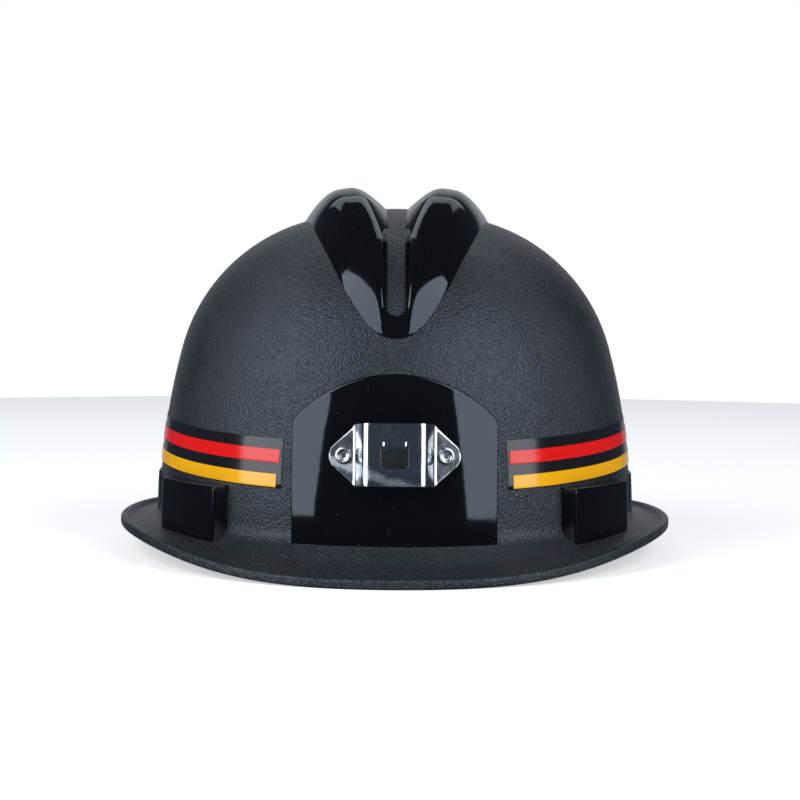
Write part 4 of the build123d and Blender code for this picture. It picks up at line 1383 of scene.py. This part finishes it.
def studio_world():
    """Pale surroundings, brightest behind the helmet and dark in front and overhead."""
    world = bpy.data.worlds.new("studio")
    world.use_nodes = True
    tree = world.node_tree
    tree.nodes.clear()
    coordinates = tree.nodes.new("ShaderNodeTexCoord")
    axes = tree.nodes.new("ShaderNodeSeparateXYZ")
    tree.links.new(coordinates.outputs["Generated"], axes.inputs[0])
    behind = tree.nodes.new("ShaderNodeMapRange")
    behind.interpolation_type = "SMOOTHSTEP"
    for key, value in (("From Min", 0.86), ("From Max", 0.99)):
        behind.inputs[key].default_value = value
    tree.links.new(axes.outputs["Y"], behind.inputs["Value"])
    tint = tree.nodes.new("ShaderNodeMix")
    tint.data_type = "RGBA"
    tree.links.new(behind.outputs[0], tint.inputs[0])
    tint.inputs[6].default_value = (0.030, 0.040, 0.058, 1)
    tint.inputs[7].default_value = (0.38, 0.40, 0.43, 1)
    path = tree.nodes.new("ShaderNodeLightPath")
    seen = tree.nodes.new("ShaderNodeBackground")
    seen.inputs["Color"].default_value = (1, 1, 1, 1)
    around = tree.nodes.new("ShaderNodeBackground")
    tree.links.new(tint.outputs[2], around.inputs["Color"])
    mixed = tree.nodes.new("ShaderNodeMixShader")
    tree.links.new(path.outputs["Is Camera Ray"], mixed.inputs[0])
    tree.links.new(around.outputs[0], mixed.inputs[1])
    tree.links.new(seen.outputs[0], mixed.inputs[2])
    output = tree.nodes.new("ShaderNodeOutputWorld")
    tree.links.new(mixed.outputs[0], output.inputs["Surface"])
    bpy.context.scene.world = world


class HELMET_OT_studio(bpy.types.Operator):
    """Makes the pale floor, the soft lights and the camera"""

    bl_idname = "helmet.studio"
    bl_label = "Studio"

    def execute(self, context):
        bpy.ops.object.select_all(action="DESELECT")
        bpy.ops.mesh.primitive_circle_add(vertices=96, radius=1.1, fill_type="NGON", location=(0, 0, 0))
        floor = bpy.context.object
        floor.name = "studio_floor"
        floor.visible_glossy = False
        floor.data.materials.append(material_of("floor"))
        middle = (0, -0.05, 0.09)
        cool = (0.90, 0.95, 1.0)
        soft_light("left_box", (-0.95, -0.59, 0.60), middle, (1.06, 1.42), 16.0, cool)
        soft_light("right_box", (0.89, -0.68, 0.60), middle, (0.97, 1.42), 14.0, cool)
        soft_light("top_box", (0, 0.98, 1.02), middle, (1.7, 0.50), 2.4, cool)
        studio_world()
        data = bpy.data.cameras.new("camera")
        data.lens = 95.7
        data.sensor_width = 36
        camera = bpy.data.objects.new("camera", data)
        bpy.context.collection.objects.link(camera)
        camera.location = (0.0016, -1.0, 0.132)
        camera.rotation_euler = (math.radians(90 - 3.7), math.radians(-0.4), 0)
        context.scene.camera = camera
        context.scene.view_settings.view_transform = "Standard"
        return {"FINISHED"}


class HELMET_PT_panel(bpy.types.Panel):
    """Lists the helmet's sizes, colours and pieces"""

    bl_idname = "HELMET_PT_panel"
    bl_label = "Safety Helmet"
    bl_space_type = "VIEW_3D"
    bl_region_type = "UI"
    bl_category = "Helmet"

    def draw(self, context):
        for group in (context.scene.helmet_sizes, context.scene.helmet_colours):
            box = self.layout.box()
            for name in group.__annotations__:
                box.prop(group, name)
        column = self.layout.column()
        for operator in OPERATORS:
            column.operator(operator.bl_idname)


OPERATORS = (
    HELMET_OT_studio,
    HELMET_OT_shell,
    HELMET_OT_ridges,
    HELMET_OT_lamp_panel,
    HELMET_OT_key_blocks,
    HELMET_OT_lamp_bracket,
    HELMET_OT_tapes,
    HELMET_OT_straps,
    HELMET_OT_pads,
    HELMET_OT_headband,
    HELMET_OT_ratchet,
    HELMET_OT_cable_clip,
)


def register():
    for group in (HelmetSizes, HelmetColours, *OPERATORS, HELMET_PT_panel):
        bpy.utils.register_class(group)
    bpy.types.Scene.helmet_sizes = bpy.props.PointerProperty(type=HelmetSizes)
    bpy.types.Scene.helmet_colours = bpy.props.PointerProperty(type=HelmetColours)


def unregister():
    del bpy.types.Scene.helmet_colours
    del bpy.types.Scene.helmet_sizes
    for group in (HELMET_PT_panel, *reversed(OPERATORS), HelmetColours, HelmetSizes):
        bpy.utils.unregister_class(group)


def main():
    """Registers the add-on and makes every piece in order."""
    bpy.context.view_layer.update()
    register()
    for operator in OPERATORS:
        group, name = operator.bl_idname.split(".")
        getattr(getattr(bpy.ops, group), name)()


if __name__ == "__main__":
    main()
